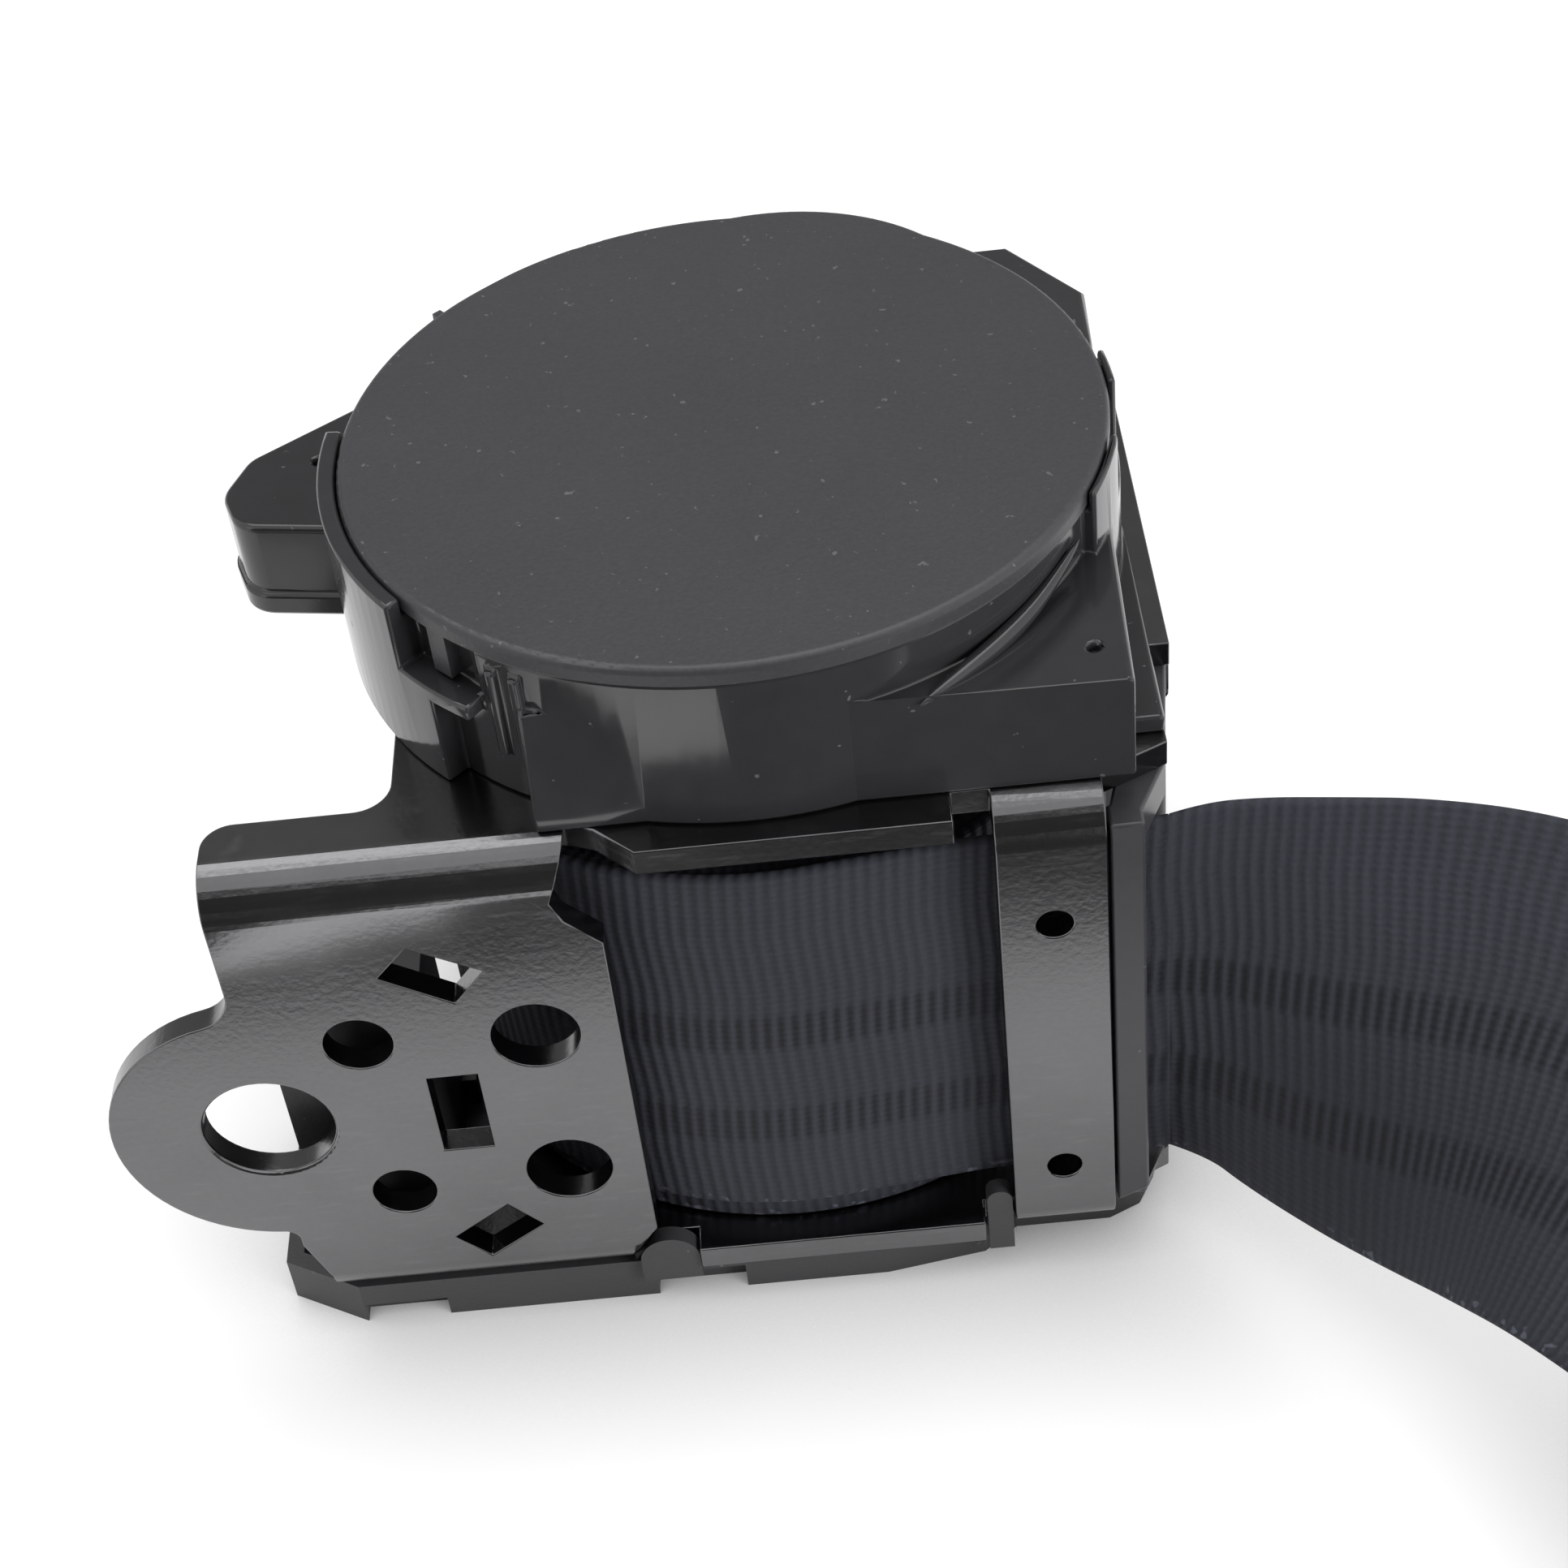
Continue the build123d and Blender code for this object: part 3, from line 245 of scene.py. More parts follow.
def piece(name, mesh, material, body, nodes=()):
    """Puts a mesh in the scene as a piece that rides on a body and stands for some of the CAD nodes."""
    made = bpy.data.objects.new(name, mesh)
    bpy.context.scene.collection.objects.link(made)
    made.data.materials.clear()
    made.data.materials.append(material)
    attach(made, body)
    if nodes:
        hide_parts(*nodes)
    return made


def smooth_run(points):
    """Points along the NURBS spline of order 3 that has the given points as its control points."""
    line = bpy.data.curves.new("run", "CURVE")
    line.dimensions = "3D"
    line.resolution_u = 12
    spline = line.splines.new("NURBS")
    spline.points.add(len(points) - 1)
    spline.points.foreach_set("co", np.c_[points, np.ones(len(points))].ravel())
    spline.order_u = 3
    spline.use_endpoint_u = True
    holder = bpy.data.objects.new("run", line)
    mesh = bpy.data.meshes.new_from_object(holder)
    found = np.empty(len(mesh.vertices) * 3)
    mesh.vertices.foreach_get("co", found)
    bpy.data.meshes.remove(mesh)
    bpy.data.objects.remove(holder)
    bpy.data.curves.remove(line)
    return found.reshape(-1, 3)


def unit(vectors):
    return vectors / np.linalg.norm(vectors, axis=-1, keepdims=True)


def lean_across(heading, climb, lean):
    """Direction of the webbing's upper edge: straight up from its run, then leant back about the run."""
    a, b, c = np.radians([heading, climb, lean])
    run = np.array([np.cos(b) * np.cos(a), np.cos(b) * np.sin(a), np.sin(b)])
    up = unit(np.array([0.0, 0.0, 1.0]) - run * run[2])
    return up * np.cos(c) - np.cross(run, up) * np.sin(c)


def strap_outline(wide, thick, faces=26, ends=6):
    """Closed outline of the webbing's section: two flat faces and half-round selvages."""
    flat = np.linspace(-wide / 2 + thick / 2, wide / 2 - thick / 2, faces + 1)
    turn_high = np.linspace(np.pi / 2, -np.pi / 2, ends + 1)[1:-1]
    top = np.c_[flat, np.full(faces + 1, thick / 2)]
    high = np.c_[flat[-1] + np.cos(turn_high) * thick / 2, np.sin(turn_high) * thick / 2]
    return np.vstack([top, high, -top, -high])


def strap(name, centres, across, start=0.0):
    """Section carried along a line: centre + across * p + face * q for each point (p, q) of the outline.
    The UV map is in metres, along the line from start and up from the low selvage."""
    outline = strap_outline(web_wide, web_thick)
    across = unit(across)
    face = unit(np.cross(across, np.gradient(centres, axis=0)))
    p, q = outline[None, :, :1], outline[None, :, 1:]
    points = centres[:, None] + across[:, None] * p + face[:, None] * q
    gone = np.r_[0.0, np.cumsum(np.linalg.norm(np.diff(centres, axis=0), axis=1))] + start
    height = np.r_[outline[:, 0], outline[0, 0]] + web_wide / 2
    uv = np.stack(np.meshgrid(gone, height, indexing="ij"), -1)
    return surface(name, points, uv, round_v=True, capped=True)


spool_axis = np.array((0.0130, 0.0008975, 0.0))
webbing_color = (0.037, 0.039, 0.049)
webbing_cloth = woven("webbing_cloth", webbing_color)

# Middle of the webbing in metres from the spool's axis and the floor, then heading, climb and lean
fall = [
    (0.0385, -0.0328, 0.0343, -3, 0, 0),
    (0.0422, -0.0335, 0.0344, -13, 1, 4),
    (0.0460, -0.0351, 0.0340, -22, 2, 10),
    (0.0531, -0.0389, 0.0339, -27, 6, 20),
    (0.0601, -0.0426, 0.0346, -30, 9, 31),
    (0.0668, -0.0468, 0.0359, -35, 8, 41),
    (0.0730, -0.0517, 0.0369, -42, 5, 50),
    (0.0788, -0.0572, 0.0370, -45, -2, 58),
    (0.0846, -0.0632, 0.0356, -46, -14, 66),
    (0.0904, -0.0692, 0.0326, -46, -25, 73),
    (0.0961, -0.0751, 0.0280, -46, -33, 79),
    (0.1018, -0.0810, 0.0220, -46, -37, 84),
    (0.1077, -0.0871, 0.0156, -46, -35, 88),
    (0.1141, -0.0937, 0.0096, -46, -28, 90),
    (0.1212, -0.1010, 0.0048, -46, -20, 90),
    (0.1290, -0.1091, 0.0017, -46, -10, 90),
    (0.1366, -0.1170, 0.00065, -46, 0, 90),
]
land = np.array((*fall[-1][:2], 0.0))
flat_heading = math.radians(fall[-1][3])
flat_run = np.array((math.cos(flat_heading), math.sin(flat_heading), 0.0))
flat_side = np.array((-math.sin(flat_heading), math.cos(flat_heading), 0.0))
# Distance along the floor from where the webbing lands, and the height of its middle
crawl = [
    (0.0280, 0.00065),
    (0.0360, 0.00155),
    (0.0420, 0.00415),
    (0.0468, 0.00600),
    (0.0490, 0.00605),
    (0.0546, 0.00605),
    (0.0566, 0.00525),
    (0.0610, 0.00155),
    (0.0633, 0.00065),
    (0.1760, 0.00065),
    (0.1830, 0.00065),
    (0.1876, 0.00070),
    (0.1880, 0.00250),
    (0.1876, 0.00435),
    (0.1830, 0.00435),
    (0.1790, 0.00430),
    (0.1720, 0.00260),
    (0.1660, 0.00190),
    (0.1600, 0.00185),
    (0.1380, 0.00185),
]


def on_flat(gone, side, z):
    """Place of something on the flat run: along it, across it, and up from the floor."""
    gone, side, z = np.broadcast_arrays(gone, side, z)
    flat = spool_axis + land + gone[..., None] * flat_run + side[..., None] * flat_side
    return flat + z[..., None] * np.array([0.0, 0.0, 1.0])


fall_middle = np.array([row[:3] for row in fall]) + spool_axis
fall_edge = np.array([lean_across(*row[3:]) for row in fall])
crawl_middle = on_flat(*np.array(crawl).T[[0]], 0.0, np.array(crawl)[:, 1])
route = np.vstack([fall_middle, crawl_middle])
route_edge = np.vstack([fall_edge, np.tile(flat_side, (len(crawl), 1))])
free_line = smooth_run(route)
free_across = smooth_run(route + route_edge * (web_wide / 2)) - free_line
strap_mesh = strap("webbing_strap", free_line, free_across)
free = piece("webbing_strap", strap_mesh, webbing_cloth, "retractor",
             ["webbing_free", "webbing_flat"])

# Stitching: bonded polyester thread in zigzag rows through both plies beside the anchor, machine sewn.
# Each stitch is a short rounded capsule that dips into the cloth at both ends.
stitch_rows = 5
stitch_from = 0.1405
stitch_to = 0.1610
stitch_step = 0.0021
stitch_swing = 0.0019
thread_radius = 0.00022
thread_crease = 60.0
twist_size = 0.0004
twist_depth = 0.00005
ply_top = 0.00185 + web_thick / 2
# How far the rows and the two bars across the ends reach from the middle, as shares of the width
row_reach = 0.36
bar_reach = 0.40
bar_spots_across = 17
bar_before = 0.0012
bar_after = 0.0006


def capsules(starts, ends, radius, sides=6):
    """Threads between pairs of points. The rings along each are small at both ends, where the thread dips
    into the cloth, and lie a little above the straight line in the middle."""
    way = np.array([0.0, 0.12, 0.35, 0.65, 0.88, 1.0])
    size = radius * np.array([0.25, 0.8, 1.0, 1.0, 0.8, 0.25])
    turn = np.linspace(0, math.tau, sides, endpoint=False)
    up = np.array([0.0, 0.0, 1.0])
    run = unit(ends - starts)
    side = unit(np.cross(run, up))
    lift = np.array([-0.9, -0.1, 0.35, 0.35, -0.1, -0.9]) * radius
    middle = starts[:, None] + (ends - starts)[:, None] * way[None, :, None] + lift[None, :, None] * up
    ring = side[:, None, None] * np.cos(turn)[:, None] + up * np.sin(turn)[:, None]
    points = middle[:, :, None] + ring * size[None, :, None, None]
    count, rings = len(starts), len(way)
    k, i, j = np.meshgrid(np.arange(count), np.arange(rings - 1), np.arange(sides), indexing="ij")
    corners = [(i, j), (i + 1, j), (i + 1, j + 1), (i, j + 1)]
    faces = np.stack([((k * rings + a) * sides + b % sides).ravel() for a, b in corners], 1).tolist()
    base = np.arange(count)[:, None] * rings * sides
    last = np.arange(sides) + (rings - 1) * sides
    faces += (base + np.arange(sides)[::-1]).tolist() + (base + last).tolist()
    mesh = bpy.data.meshes.new("stitches")
    mesh.from_pydata(points.reshape(-1, 3).tolist(), [], faces)
    return outward(mesh, thread_crease)


stops = np.arange(stitch_from, stitch_to, stitch_step)
row_at = np.linspace(-row_reach, row_reach, stitch_rows) * web_wide
swing = np.where(np.arange(len(stops)) % 2, stitch_swing, -stitch_swing)
spots = on_flat(stops[None, :], row_at[:, None] + swing[None, :], ply_top)
bar_side = np.linspace(-bar_reach, bar_reach, bar_spots_across) * web_wide
bar_at = np.array([stitch_from - bar_before, stitch_to + bar_after])
bar_spots = on_flat(bar_at[:, None], bar_side[None, :], ply_top)
stitch_starts = np.vstack([spots[:, :-1].reshape(-1, 3), bar_spots[:, :-1].reshape(-1, 3)])
stitch_ends = np.vstack([spots[:, 1:].reshape(-1, 3), bar_spots[:, 1:].reshape(-1, 3)])
thread = Finish("sewing_thread", (0.045, 0.047, 0.055), roughness=0.55, Sheen_Weight=0.3)
twist = thread.noise(thread.place(), twist_size)
thread.shade(twist * 0.8 + 0.6)
thread.relief(twist, twist_depth)
stitch_mesh = capsules(stitch_starts, stitch_ends, thread_radius)
stitches = piece("anchor_stitches", stitch_mesh, thread.material, "retractor")

# Wound webbing: the turns on the spool, one strap wound tight. Seen from the ends each turn is a ring
# with a rounded selvage, a little higher or lower than the next.
roll_radius = 0.0361
core_radius = 0.0140
roll_low = 0.0084
roll_high = 0.0557
turns = 18
roll_sides = 144
wall_rows = 10
# How far a turn's edge may lie under or over the end of the roll
edge_under = -0.00035
edge_over = 0.00005


def wound(radius_in, radius_out, low, high):
    """Closed profile of the turns spun about the axis: selvage arcs of half a turn's thickness at both
    ends, each at a height of its own, joined by the bore and the outer face. UV is in metres."""
    thick = (radius_out - radius_in) / turns
    middle = radius_in + thick * (np.arange(turns) + 0.5)
    rng = np.random.default_rng(7)
    step = rng.uniform(edge_under, edge_over, (2, turns))
    arc = np.radians([160, 125, 90, 55, 20])
    r_top = (middle[:, None] + np.cos(arc) * thick / 2).ravel()
    z_top = (high + step[0][:, None] + (np.sin(arc) - 1) * thick / 2).ravel()
    z_low = (low - step[1][:, None] - (np.sin(arc) - 1) * thick / 2).ravel()
    wall = np.linspace(0, 1, wall_rows + 2)[1:-1]
    wall_z = z_top[-1] + (z_low[-1] - z_top[-1]) * wall
    bore_z = z_low[0] + (z_top[0] - z_low[0]) * wall
    r = np.r_[r_top, np.full(wall_rows, radius_out), r_top[::-1], np.full(wall_rows, radius_in)]
    z = np.r_[z_top, wall_z, z_low[::-1], bore_z]
    around = np.linspace(0, math.tau, roll_sides, endpoint=False)
    x, y = r * np.cos(around)[:, None], r * np.sin(around)[:, None]
    points = np.stack([x, y, np.broadcast_to(z, x.shape)], -1)
    u = np.linspace(0, math.tau * radius_out, roll_sides + 1)
    v = np.r_[z, z[0]] - low
    uv = np.stack(np.meshgrid(u, v, indexing="ij"), -1)
    return surface("webbing_turns", points + spool_axis, uv, round_u=True, round_v=True)


roll_mesh = wound(core_radius, roll_radius, roll_low, roll_high)
piece("webbing_turns", roll_mesh, webbing_cloth, "spool_set", ["webbing_roll"])

# Outgoing webbing: the last turn, which drifts up the roll as it comes round to the window, and the
# straight run from the roll to the guide. It is the same strap as the free webbing.
lead_radius = 0.0370
lead_low_radius = 0.0357
lead_start = -176.0
lead_lift = 0.0036
exit_lift = 0.0020
lead_low = 0.0089
exit_spot = np.array((0.0385, -0.0328))
exit_away = float(np.hypot(*exit_spot))
lead_leave = math.degrees(math.atan2(exit_spot[1], exit_spot[0]) - math.acos(lead_radius / exit_away))
lead_steps = 90
run_steps = 25
# The webbing has grown onto the last turn after 1 / lead_grow of its way round
lead_grow = 2.2
rise_long = 0.025
drop_long = 0.022


def eased(share):
    """Cuts a share to 0 to 1 and smooths it: its square times three less twice the share."""
    share = np.clip(share, 0, 1)
    return share * share * (3 - 2 * share)


def outgoing():
    """Spiral that grows onto the last turn, then a straight line to the guide. Its height eases up at the
    start and part of the way down again at the guide. Gives the line and its length."""
    turn_by = np.radians(np.linspace(lead_start, lead_leave, lead_steps))
    grown = eased(np.linspace(0, lead_grow, lead_steps))
    radius = lead_low_radius + (lead_radius - lead_low_radius) * grown
    wrap = np.c_[np.cos(turn_by) * radius, np.sin(turn_by) * radius]
    line = wrap[-1] + (exit_spot - wrap[-1]) * np.linspace(0, 1, run_steps + 1)[1:, None]
    plan = np.vstack([wrap, line])
    gone = np.r_[0.0, np.cumsum(np.linalg.norm(np.diff(plan, axis=0), axis=1))]
    rise = lead_lift * eased(gone / rise_long)
    drop = (lead_lift - exit_lift) * eased((gone - gone[-1] + drop_long) / drop_long)
    return np.c_[plan, lead_low + web_wide / 2 + rise - drop] + spool_axis, gone[-1]


lead_line, lead_long = outgoing()
lead_across = np.tile([0.0, 0.0, 1.0], (len(lead_line), 1))
lead_mesh = strap("webbing_outgoing", lead_line, lead_across, -lead_long)
piece("webbing_outgoing", lead_mesh, webbing_cloth, "retractor", ["webbing_lead"])

# Frame: one stamping of 2.8 mm steel with bent flanges, a strap across the window, reliefs at the bends
# and a dark plating that is shinier where it is rubbed. Its punched edges are slightly rounded.
weld_near = 2e-6
flat_within = math.radians(0.6)
crease_from = math.radians(32.0)
rounded_from = math.radians(62.0)
punched_edge = 0.00014
peel_size = 0.0007
patch_size = 0.012
rub_size = 0.004
coat_depth = 0.00003


def merged(name, node):
    """Copy of a CAD solid with its triangles merged to whole faces and its sharp edges marked."""
    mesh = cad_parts[node].data.copy()
    mesh.name = name
    work = bmesh.new()
    work.from_mesh(mesh)
    bmesh.ops.remove_doubles(work, verts=work.verts, dist=weld_near)
    bmesh.ops.dissolve_limit(work, angle_limit=flat_within, verts=work.verts, edges=work.edges)
    work.to_mesh(mesh)
    work.free()
    mesh.polygons.foreach_set("use_smooth", [True] * len(mesh.polygons))
    mesh.set_sharp_from_angle(angle=crease_from)
    return mesh


def dressed(node, name, material, radius=0.0):
    """The CAD node's own shape in the node's place, with a small radius on its sharp edges."""
    made = piece(name, merged(name, node), material, "retractor", [node])
    if radius:
        bevel = made.modifiers.new("edges", "BEVEL")
        bevel.width = radius
        bevel.segments = 2
        bevel.limit_method = "ANGLE"
        bevel.angle_limit = rounded_from
        bevel.use_clamp_overlap = False
    even = made.modifiers.new("shading", "WEIGHTED_NORMAL")
    even.keep_sharp = True
    even.weight = 60
    return made


steel_coat = Finish("dark_plating", (0.165, 0.165, 0.169), roughness=0.24, Metallic=1.0)
coat_at = steel_coat.place()
peel = steel_coat.noise(coat_at, peel_size, 3.0)
patch = steel_coat.noise(coat_at, patch_size, 3.0)
rub = steel_coat.noise(steel_coat.place((1, 1, 6)), rub_size, 4.0).ramp(0.56, 0.72)
steel_coat.shade(patch * 0.30 + peel * 0.10 + 0.80 + rub * 0.10)
steel_coat.rough(patch * 0.10 + 0.16 + rub * 0.05)
steel_coat.relief(peel * 0.7 + patch * 0.8, coat_depth)
dressed("frame", "chassis", steel_coat.material, radius=punched_edge)

# Lower cover: a shallow tray of matt black plastic under the frame, held by lugs and three screws, with
# the box that stands behind the mounting plate. Moulded, with a fine spark-eroded grain.
tone_size = 0.015
dust_size = 0.0012


def moulded(name, color, roughness, grain, depth, **constants):
    """Moulded plastic: fine grain in relief, slow changes of tone and shine, and a few pale dust specks."""
    plastic = Finish(name, color, roughness, **constants)
    at = plastic.place()
    bite = plastic.noise(at, grain, 3.0)
    slow = plastic.noise(at, tone_size, 3.0)
    dust = plastic.noise(plastic.place(turned=(0.4, 0.7, 0.2)), dust_size).ramp(0.735, 0.77)
    plastic.shade(bite * 0.25 + slow * 0.3 + 0.72 + dust * 2.2)
    plastic.rough(bite * 0.06 + slow * 0.1 + (roughness - 0.07) + dust * 0.2)
    plastic.relief(bite, depth)
    return plastic.material


tray_plastic = moulded("tray_plastic", (0.050, 0.050, 0.053), roughness=0.42, grain=0.0004, depth=0.00003)
dressed("lower_cover", "tray", tray_plastic)

# Mechanism housing: glossy black plastic over the lock and the spring, screwed to the upper flange. Its
# round wall is the spring drum, with guards, ribs and clip slots round the rim.
housing_plastic = moulded("housing_plastic", (0.038, 0.038, 0.041), roughness=0.12, grain=0.0030,
                          depth=0.000006, Specular_IOR_Level=0.6)
dressed("mechanism_housing", "housing", housing_plastic, radius=0.00035)

# Rib: a rounded bead moulded at the foot of the drum wall where it meets the corner, standing proud of
# the corner's flat top and running out at both ends.
bead_radius = 0.00095
bead_sides = 12
# Degrees round the spool's axis, then radius and height in metres
bead_stations = [
    (-66.0, 0.03940, 0.07690),
    (-60.0, 0.03860, 0.07735),
    (-50.0, 0.03775, 0.07770),
    (-40.0, 0.03745, 0.07870),
    (-30.0, 0.03730, 0.08020),
]


def bead():
    """Tube along a smooth line through the stations. Its radius is bead_radius times the root of the sine
    of the way along, which falls to nothing at the ends."""
    angle, r, z = np.array(bead_stations).T
    angle = np.radians(angle)
    line = smooth_run(np.c_[r * np.cos(angle), r * np.sin(angle), z] + spool_axis)
    run = unit(np.gradient(line, axis=0))
    out = unit(np.cross(run, [0.0, 0.0, 1.0]))
    up = np.cross(out, run)
    size = bead_radius * np.sqrt(np.clip(np.sin(np.pi * np.linspace(0, 1, len(line))), 0.002, 1))
    turn = np.linspace(0, math.tau, bead_sides, endpoint=False)
    ring = out[:, None] * np.cos(turn)[:, None] + up[:, None] * np.sin(turn)[:, None]
    uv = np.zeros((len(line), bead_sides + 1, 2))
    return surface("corner_bead", line[:, None] + ring * size[:, None, None], uv, round_v=True, capped=True)


piece("corner_bead", bead(), housing_plastic, "retractor")

# Spring cover: a moulded disc of charcoal plastic that closes the drum over the mainspring, held by clip
# tabs in the drum's wall. Its flat face has a fine even grain and a few specks of dust.
cap_grain_size = 0.00045
cap_cloud_size = 0.018
cap_fleck_size = 0.0010
cap_plastic = Finish("cap_plastic", (0.053, 0.053, 0.058), roughness=0.42)
cap_at = cap_plastic.place()
cap_grain = cap_plastic.noise(cap_at, cap_grain_size, 3.0)
cap_cloud = cap_plastic.noise(cap_at, cap_cloud_size, 3.0)
cap_fleck = cap_plastic.noise(cap_plastic.place(turned=(0.3, 0.5, 0.9)), cap_fleck_size).ramp(0.70, 0.745)
cap_plastic.shade(cap_grain * 0.35 + cap_cloud * 0.25 + 0.70 + cap_fleck * 1.6)
cap_plastic.rough(cap_grain * 0.1 + 0.38)
cap_plastic.relief(cap_grain + cap_fleck * 0.6, 0.00004)
dressed("spring_cover", "cap", cap_plastic.material)

# Web guide: a smooth moulded ring of dark grey plastic that the webbing leaves through, held between the
# flanges at the right of the window, with a rounded front post and a rear post.
guide_plastic = moulded("guide_plastic", (0.055, 0.055, 0.060), roughness=0.35, grain=0.0012, depth=0.00001)
dressed("web_guide", "guide", guide_plastic, radius=0.00030)

# Screws: zinc-plated thread-forming screws, cold-headed with rolled threads, under the tray and under the
# upper flange. Like the other CAD nodes that show little, they keep their shape and only get a finish.
stain_size = 0.006
mark_depth = 0.000012


def machined(name, color, roughness, stretch, size=0.0008):
    """Bare metal with fine tool marks: noise drawn out along one direction, in tone, shine and relief."""
    metal = Finish(name, color, roughness, Metallic=1.0)
    marks = metal.noise(metal.place(stretch), size, 3.0)
    stain = metal.noise(metal.place(), stain_size, 3.0)
    metal.shade(marks * 0.3 + stain * 0.3 + 0.70)
    metal.rough(marks * 0.14 + stain * 0.14 + (roughness - 0.12))
    metal.relief(marks, mark_depth)
    return metal.material


def refinished(node, material):
    """Gives a CAD node that keeps its own shape a finish."""
    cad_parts[node].data.materials.clear()
    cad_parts[node].data.materials.append(material)


zinc = machined("zinc_plate", (0.47, 0.47, 0.48), roughness=0.34, stretch=(1, 1, 4))
refinished("screws_low", zinc)
refinished("screws_top", zinc)

# Spool and torsion shaft: the spool is moulded over the steel shaft, whose ends run in the frame and the
# lower bush. Both turn together with the webbing wound on them.
spool_plastic = moulded("spool_plastic", (0.032, 0.032, 0.035), roughness=0.5, grain=0.0006, depth=0.00003)
refinished("spool", spool_plastic)
turned_steel = machined("turned_steel", (0.56, 0.56, 0.57), roughness=0.28, stretch=(1, 1, 14))
refinished("torsion_shaft", turned_steel)

# Ratchet wheel, pawl and pin: hardened and stamped steel, dull grey, which lock the spool. The pawl
# swings on its pin, held off by a wire spring.
hardened = machined("hardened_steel", (0.40, 0.40, 0.42), roughness=0.4, stretch=(5, 1, 1))
refinished("ratchet_wheel", hardened)
refinished("lock_pawl", hardened)
refinished("pawl_pin", turned_steel)
blued = machined("blued_strip", (0.26, 0.28, 0.34), roughness=0.3, stretch=(1, 1, 10))
refinished("pawl_spring", blued)

# Mainspring, its arbor and the lower bush: a flat blued strip wound in the drum, hooked to an arbor of
# black plastic on the shaft, and a plain bearing in the lower flange.
refinished("mainspring", blued)
refinished("spring_arbor", spool_plastic)
natural = moulded("natural_acetal", (0.72, 0.72, 0.68), roughness=0.42, grain=0.0010, depth=0.00001)
refinished("lower_bush", natural)

# Pilot wheel and vehicle sensor: natural white acetal, with a polished ball in a cup that tips a lever
# into the teeth of the wheel.
refinished("pilot_wheel", natural)
refinished("sensor_cup", natural)
refinished("sensor_lever", natural)
polished = machined("polished_steel", (0.80, 0.80, 0.80), roughness=0.14, stretch=(1, 1, 1), size=0.002)
refinished("sensor_ball", polished)

# Tongue: a bright plated steel blade with the latch window, gripped by a grained black grip with a slot
# for the webbing, and the small button that keeps it from sliding down.
plated = machined("plated_steel", (0.74, 0.74, 0.75), roughness=0.2, stretch=(1, 6, 1))
blade = dressed("tongue_plate", "tongue_blade_plate", plated, radius=0.00025)
grip_plastic = moulded("grip_plastic", (0.018, 0.018, 0.020), roughness=0.48, grain=0.0006, depth=0.00006)
grip = dressed("tongue_cover", "tongue_grip", grip_plastic, radius=0.00045)
button = dressed("tongue_stop", "stop_button", grip_plastic, radius=0.0003)

# End anchor: a stamped steel plate with a slot for the webbing and a bolt hole, coated black. The webbing
# outside the guide ends here, and carries the tongue, its button and the stitching.
anchor_coat = moulded("anchor_coating", (0.030, 0.030, 0.033), roughness=0.4, grain=0.0009, depth=0.00002)
anchor = dressed("end_anchor", "anchor_plate", anchor_coat, radius=0.00035)

# Studio: a white floor that glows for the camera and mirrors but keeps the lamps' soft shadow, with a
# painted contact shadow where ambient occlusion dims its glow near the object, and a pale room. A wide lamp
# hangs over the object, a smaller one stands at the right, and a weak one at the left.
floor_size = 3.0
light_shadow = 0.30
floor_glow = 1.36
painted_shadow_reach = 0.035
room_light = 0.16


def background_rays(tree):
    """1 for rays that come from the camera, a mirror or a clear pane, and 0 for the light on the object."""
    camera_ray = tree.node("ShaderNodeLightPath", {}, {}, "Is Camera Ray")
    rays = camera_ray + camera_ray.twin("Is Glossy Ray") + camera_ray.twin("Is Transmission Ray")
    return tree.math("MINIMUM", rays, 1.0)


floor_paint = Finish("floor_paint", (0.86, 0.86, 0.86), roughness=0.9, Specular_IOR_Level=0.0)
# Ambient occlusion near the object dims the floor's glow: a painted contact shadow.
painted_shadow_ao = floor_paint.node("ShaderNodeAmbientOcclusion", {"samples": 4},
                              {"Distance": painted_shadow_reach}, "AO")
floor_paint.show(floor_paint.node("ShaderNodeMixShader", {}, {
    0: background_rays(floor_paint) * (1 - light_shadow),
    1: Wire(floor_paint, floor_paint.shader.outputs[0]),
    2: floor_paint.glow(painted_shadow_ao * floor_glow),
}))


def sheet_of(name, corners, finish):
    """Flat polygon that belongs to the studio."""
    mesh = bpy.data.meshes.new(name)
    mesh.from_pydata(corners, [], [tuple(range(len(corners)))])
    mesh.materials.append(finish.material)
    made = bpy.data.objects.new(name, mesh)
    bpy.context.scene.collection.objects.link(made)
    return made


floor_corners = [(-1, -1, 0), (1, -1, 0), (1, 1, 0), (-1, 1, 0)]
sheet_of("floor", [(x * floor_size, y * floor_size, z) for x, y, z in floor_corners], floor_paint)

world = bpy.data.worlds.new("studio")
world.use_nodes = True
room = Tree(world.node_tree)
background = world.node_tree.nodes["Background"]
background.inputs["Color"].default_value = (1, 1, 1, 1)
room.plug(background.inputs["Strength"], background_rays(room) * (1 - room_light) + room_light)
bpy.context.scene.world = world


def lamp(name, at, aim, size, watts):
    """Square lamp at a place, facing a point."""
    data = bpy.data.lights.new(name, "AREA")
    data.size = size
    data.energy = watts
    back = unit(np.array(at) - np.array(aim))
    right = unit(np.cross([0.0, 0.0, 1.0], back))
    turned = Matrix(np.stack([right, np.cross(back, right), back], 1).tolist())
    made = bpy.data.objects.new(name, data)
    made.matrix_world = Matrix.Translation(at) @ turned.to_4x4()
    bpy.context.scene.collection.objects.link(made)
    return made


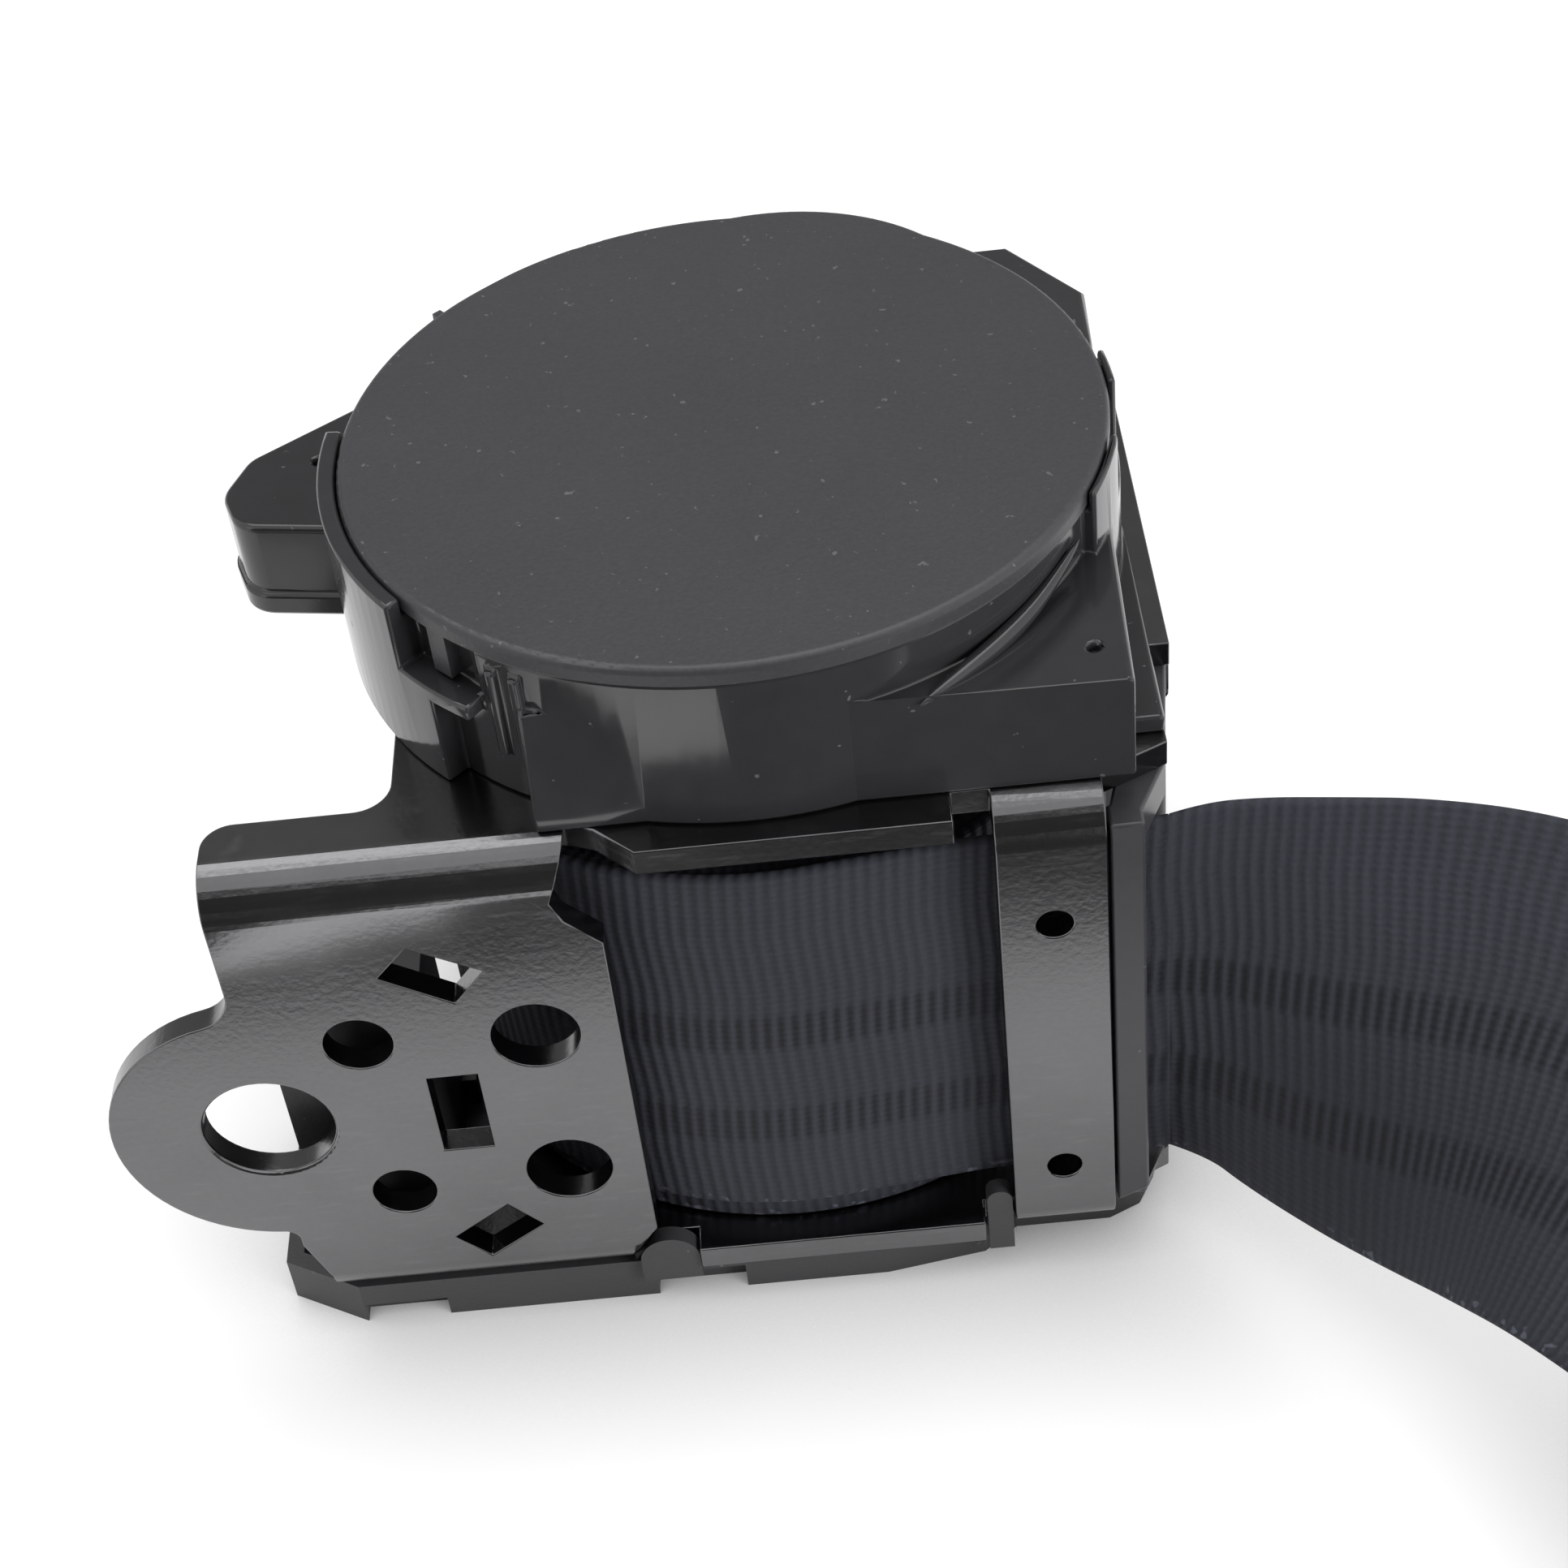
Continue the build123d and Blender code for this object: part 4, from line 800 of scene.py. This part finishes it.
key = lamp("key", (0.75, -0.60, 0.40), aim=(0.0, 0.0, 0.04), size=0.45, watts=6.5)
lamp("fill", (-0.80, -0.60, 0.60), aim=(0.0, 0.0, 0.04), size=0.60, watts=0.5)
top = lamp("top", (-0.20, 0.20, 1.10), aim=(0.0, 0.0, 0.05), size=0.80, watts=7.0)
# The two strong lamps don't show in mirrors; the cards below do that.
key.visible_glossy = False
top.visible_glossy = False


def reflected(name, corners, strength):
    """Flat glowing card that lights nothing and only mirrors see, as bright as strength: a painted
    reflection.
    """
    paint = Finish(name + "_paint", (0, 0, 0), roughness=1.0)
    paint.show(paint.glow(strength))
    card = sheet_of(name, corners, paint)
    card.visible_camera = False
    card.visible_diffuse = False
    card.visible_transmission = False
    card.visible_shadow = False


# Painted reflections: glowing cards round the studio that light nothing and show only in mirrors. Two dark
# ones, on the floor in front and behind the camera, paint dark reflections; a bright one overhead paints
# the highlights on the bends;
# a dim one stands behind the object; and a pale patch low in front paints the reflection whose outline
# shows in the drum's wall.
near = -0.088
far = -0.75
behind = 0.9
card_height = 0.0008
over_height = 1.1
painted_reflection_height = 0.045
floor_card = [(-0.20, far), (0.10, far), (0.10, near), (-0.20, near)]
reflected("floor_card", [(x, y, card_height) for x, y in floor_card], strength=0.10)
front_card = [(-0.9, 0.0), (0.9, 0.0), (0.9, 0.9), (-0.9, 0.9)]
reflected("front_card", [(x, far, z) for x, z in front_card], strength=0.10)
over_card = [(-0.6, 0.06), (0.08, 0.06), (0.08, -0.20), (0.6, -0.20), (0.6, 0.56), (-0.6, 0.56)]
reflected("top_card", [(x, y, over_height) for x, y in over_card], strength=2.8)
rear_card = [(-1.4, 0.18), (1.4, 0.18), (1.4, 1.9), (-1.4, 1.9)]
reflected("rear_card", [(x, behind, z) for x, z in rear_card], strength=0.27)
# Outline of the pale patch, which is painted as a reflection in the drum's wall.
painted_reflection_patch = [
    (-0.0458, -0.0482),
    (-0.0328, -0.0514),
    (-0.0209, -0.0540),
    (-0.0149, -0.0613),
    (-0.0030, -0.0671),
    (0.0071, -0.0693),
    (0.0030, -0.0840),
    (-0.0270, -0.0740),
]
reflected("painted_reflection_patch", [(x, y, painted_reflection_height) for x, y in painted_reflection_patch], strength=1.8)
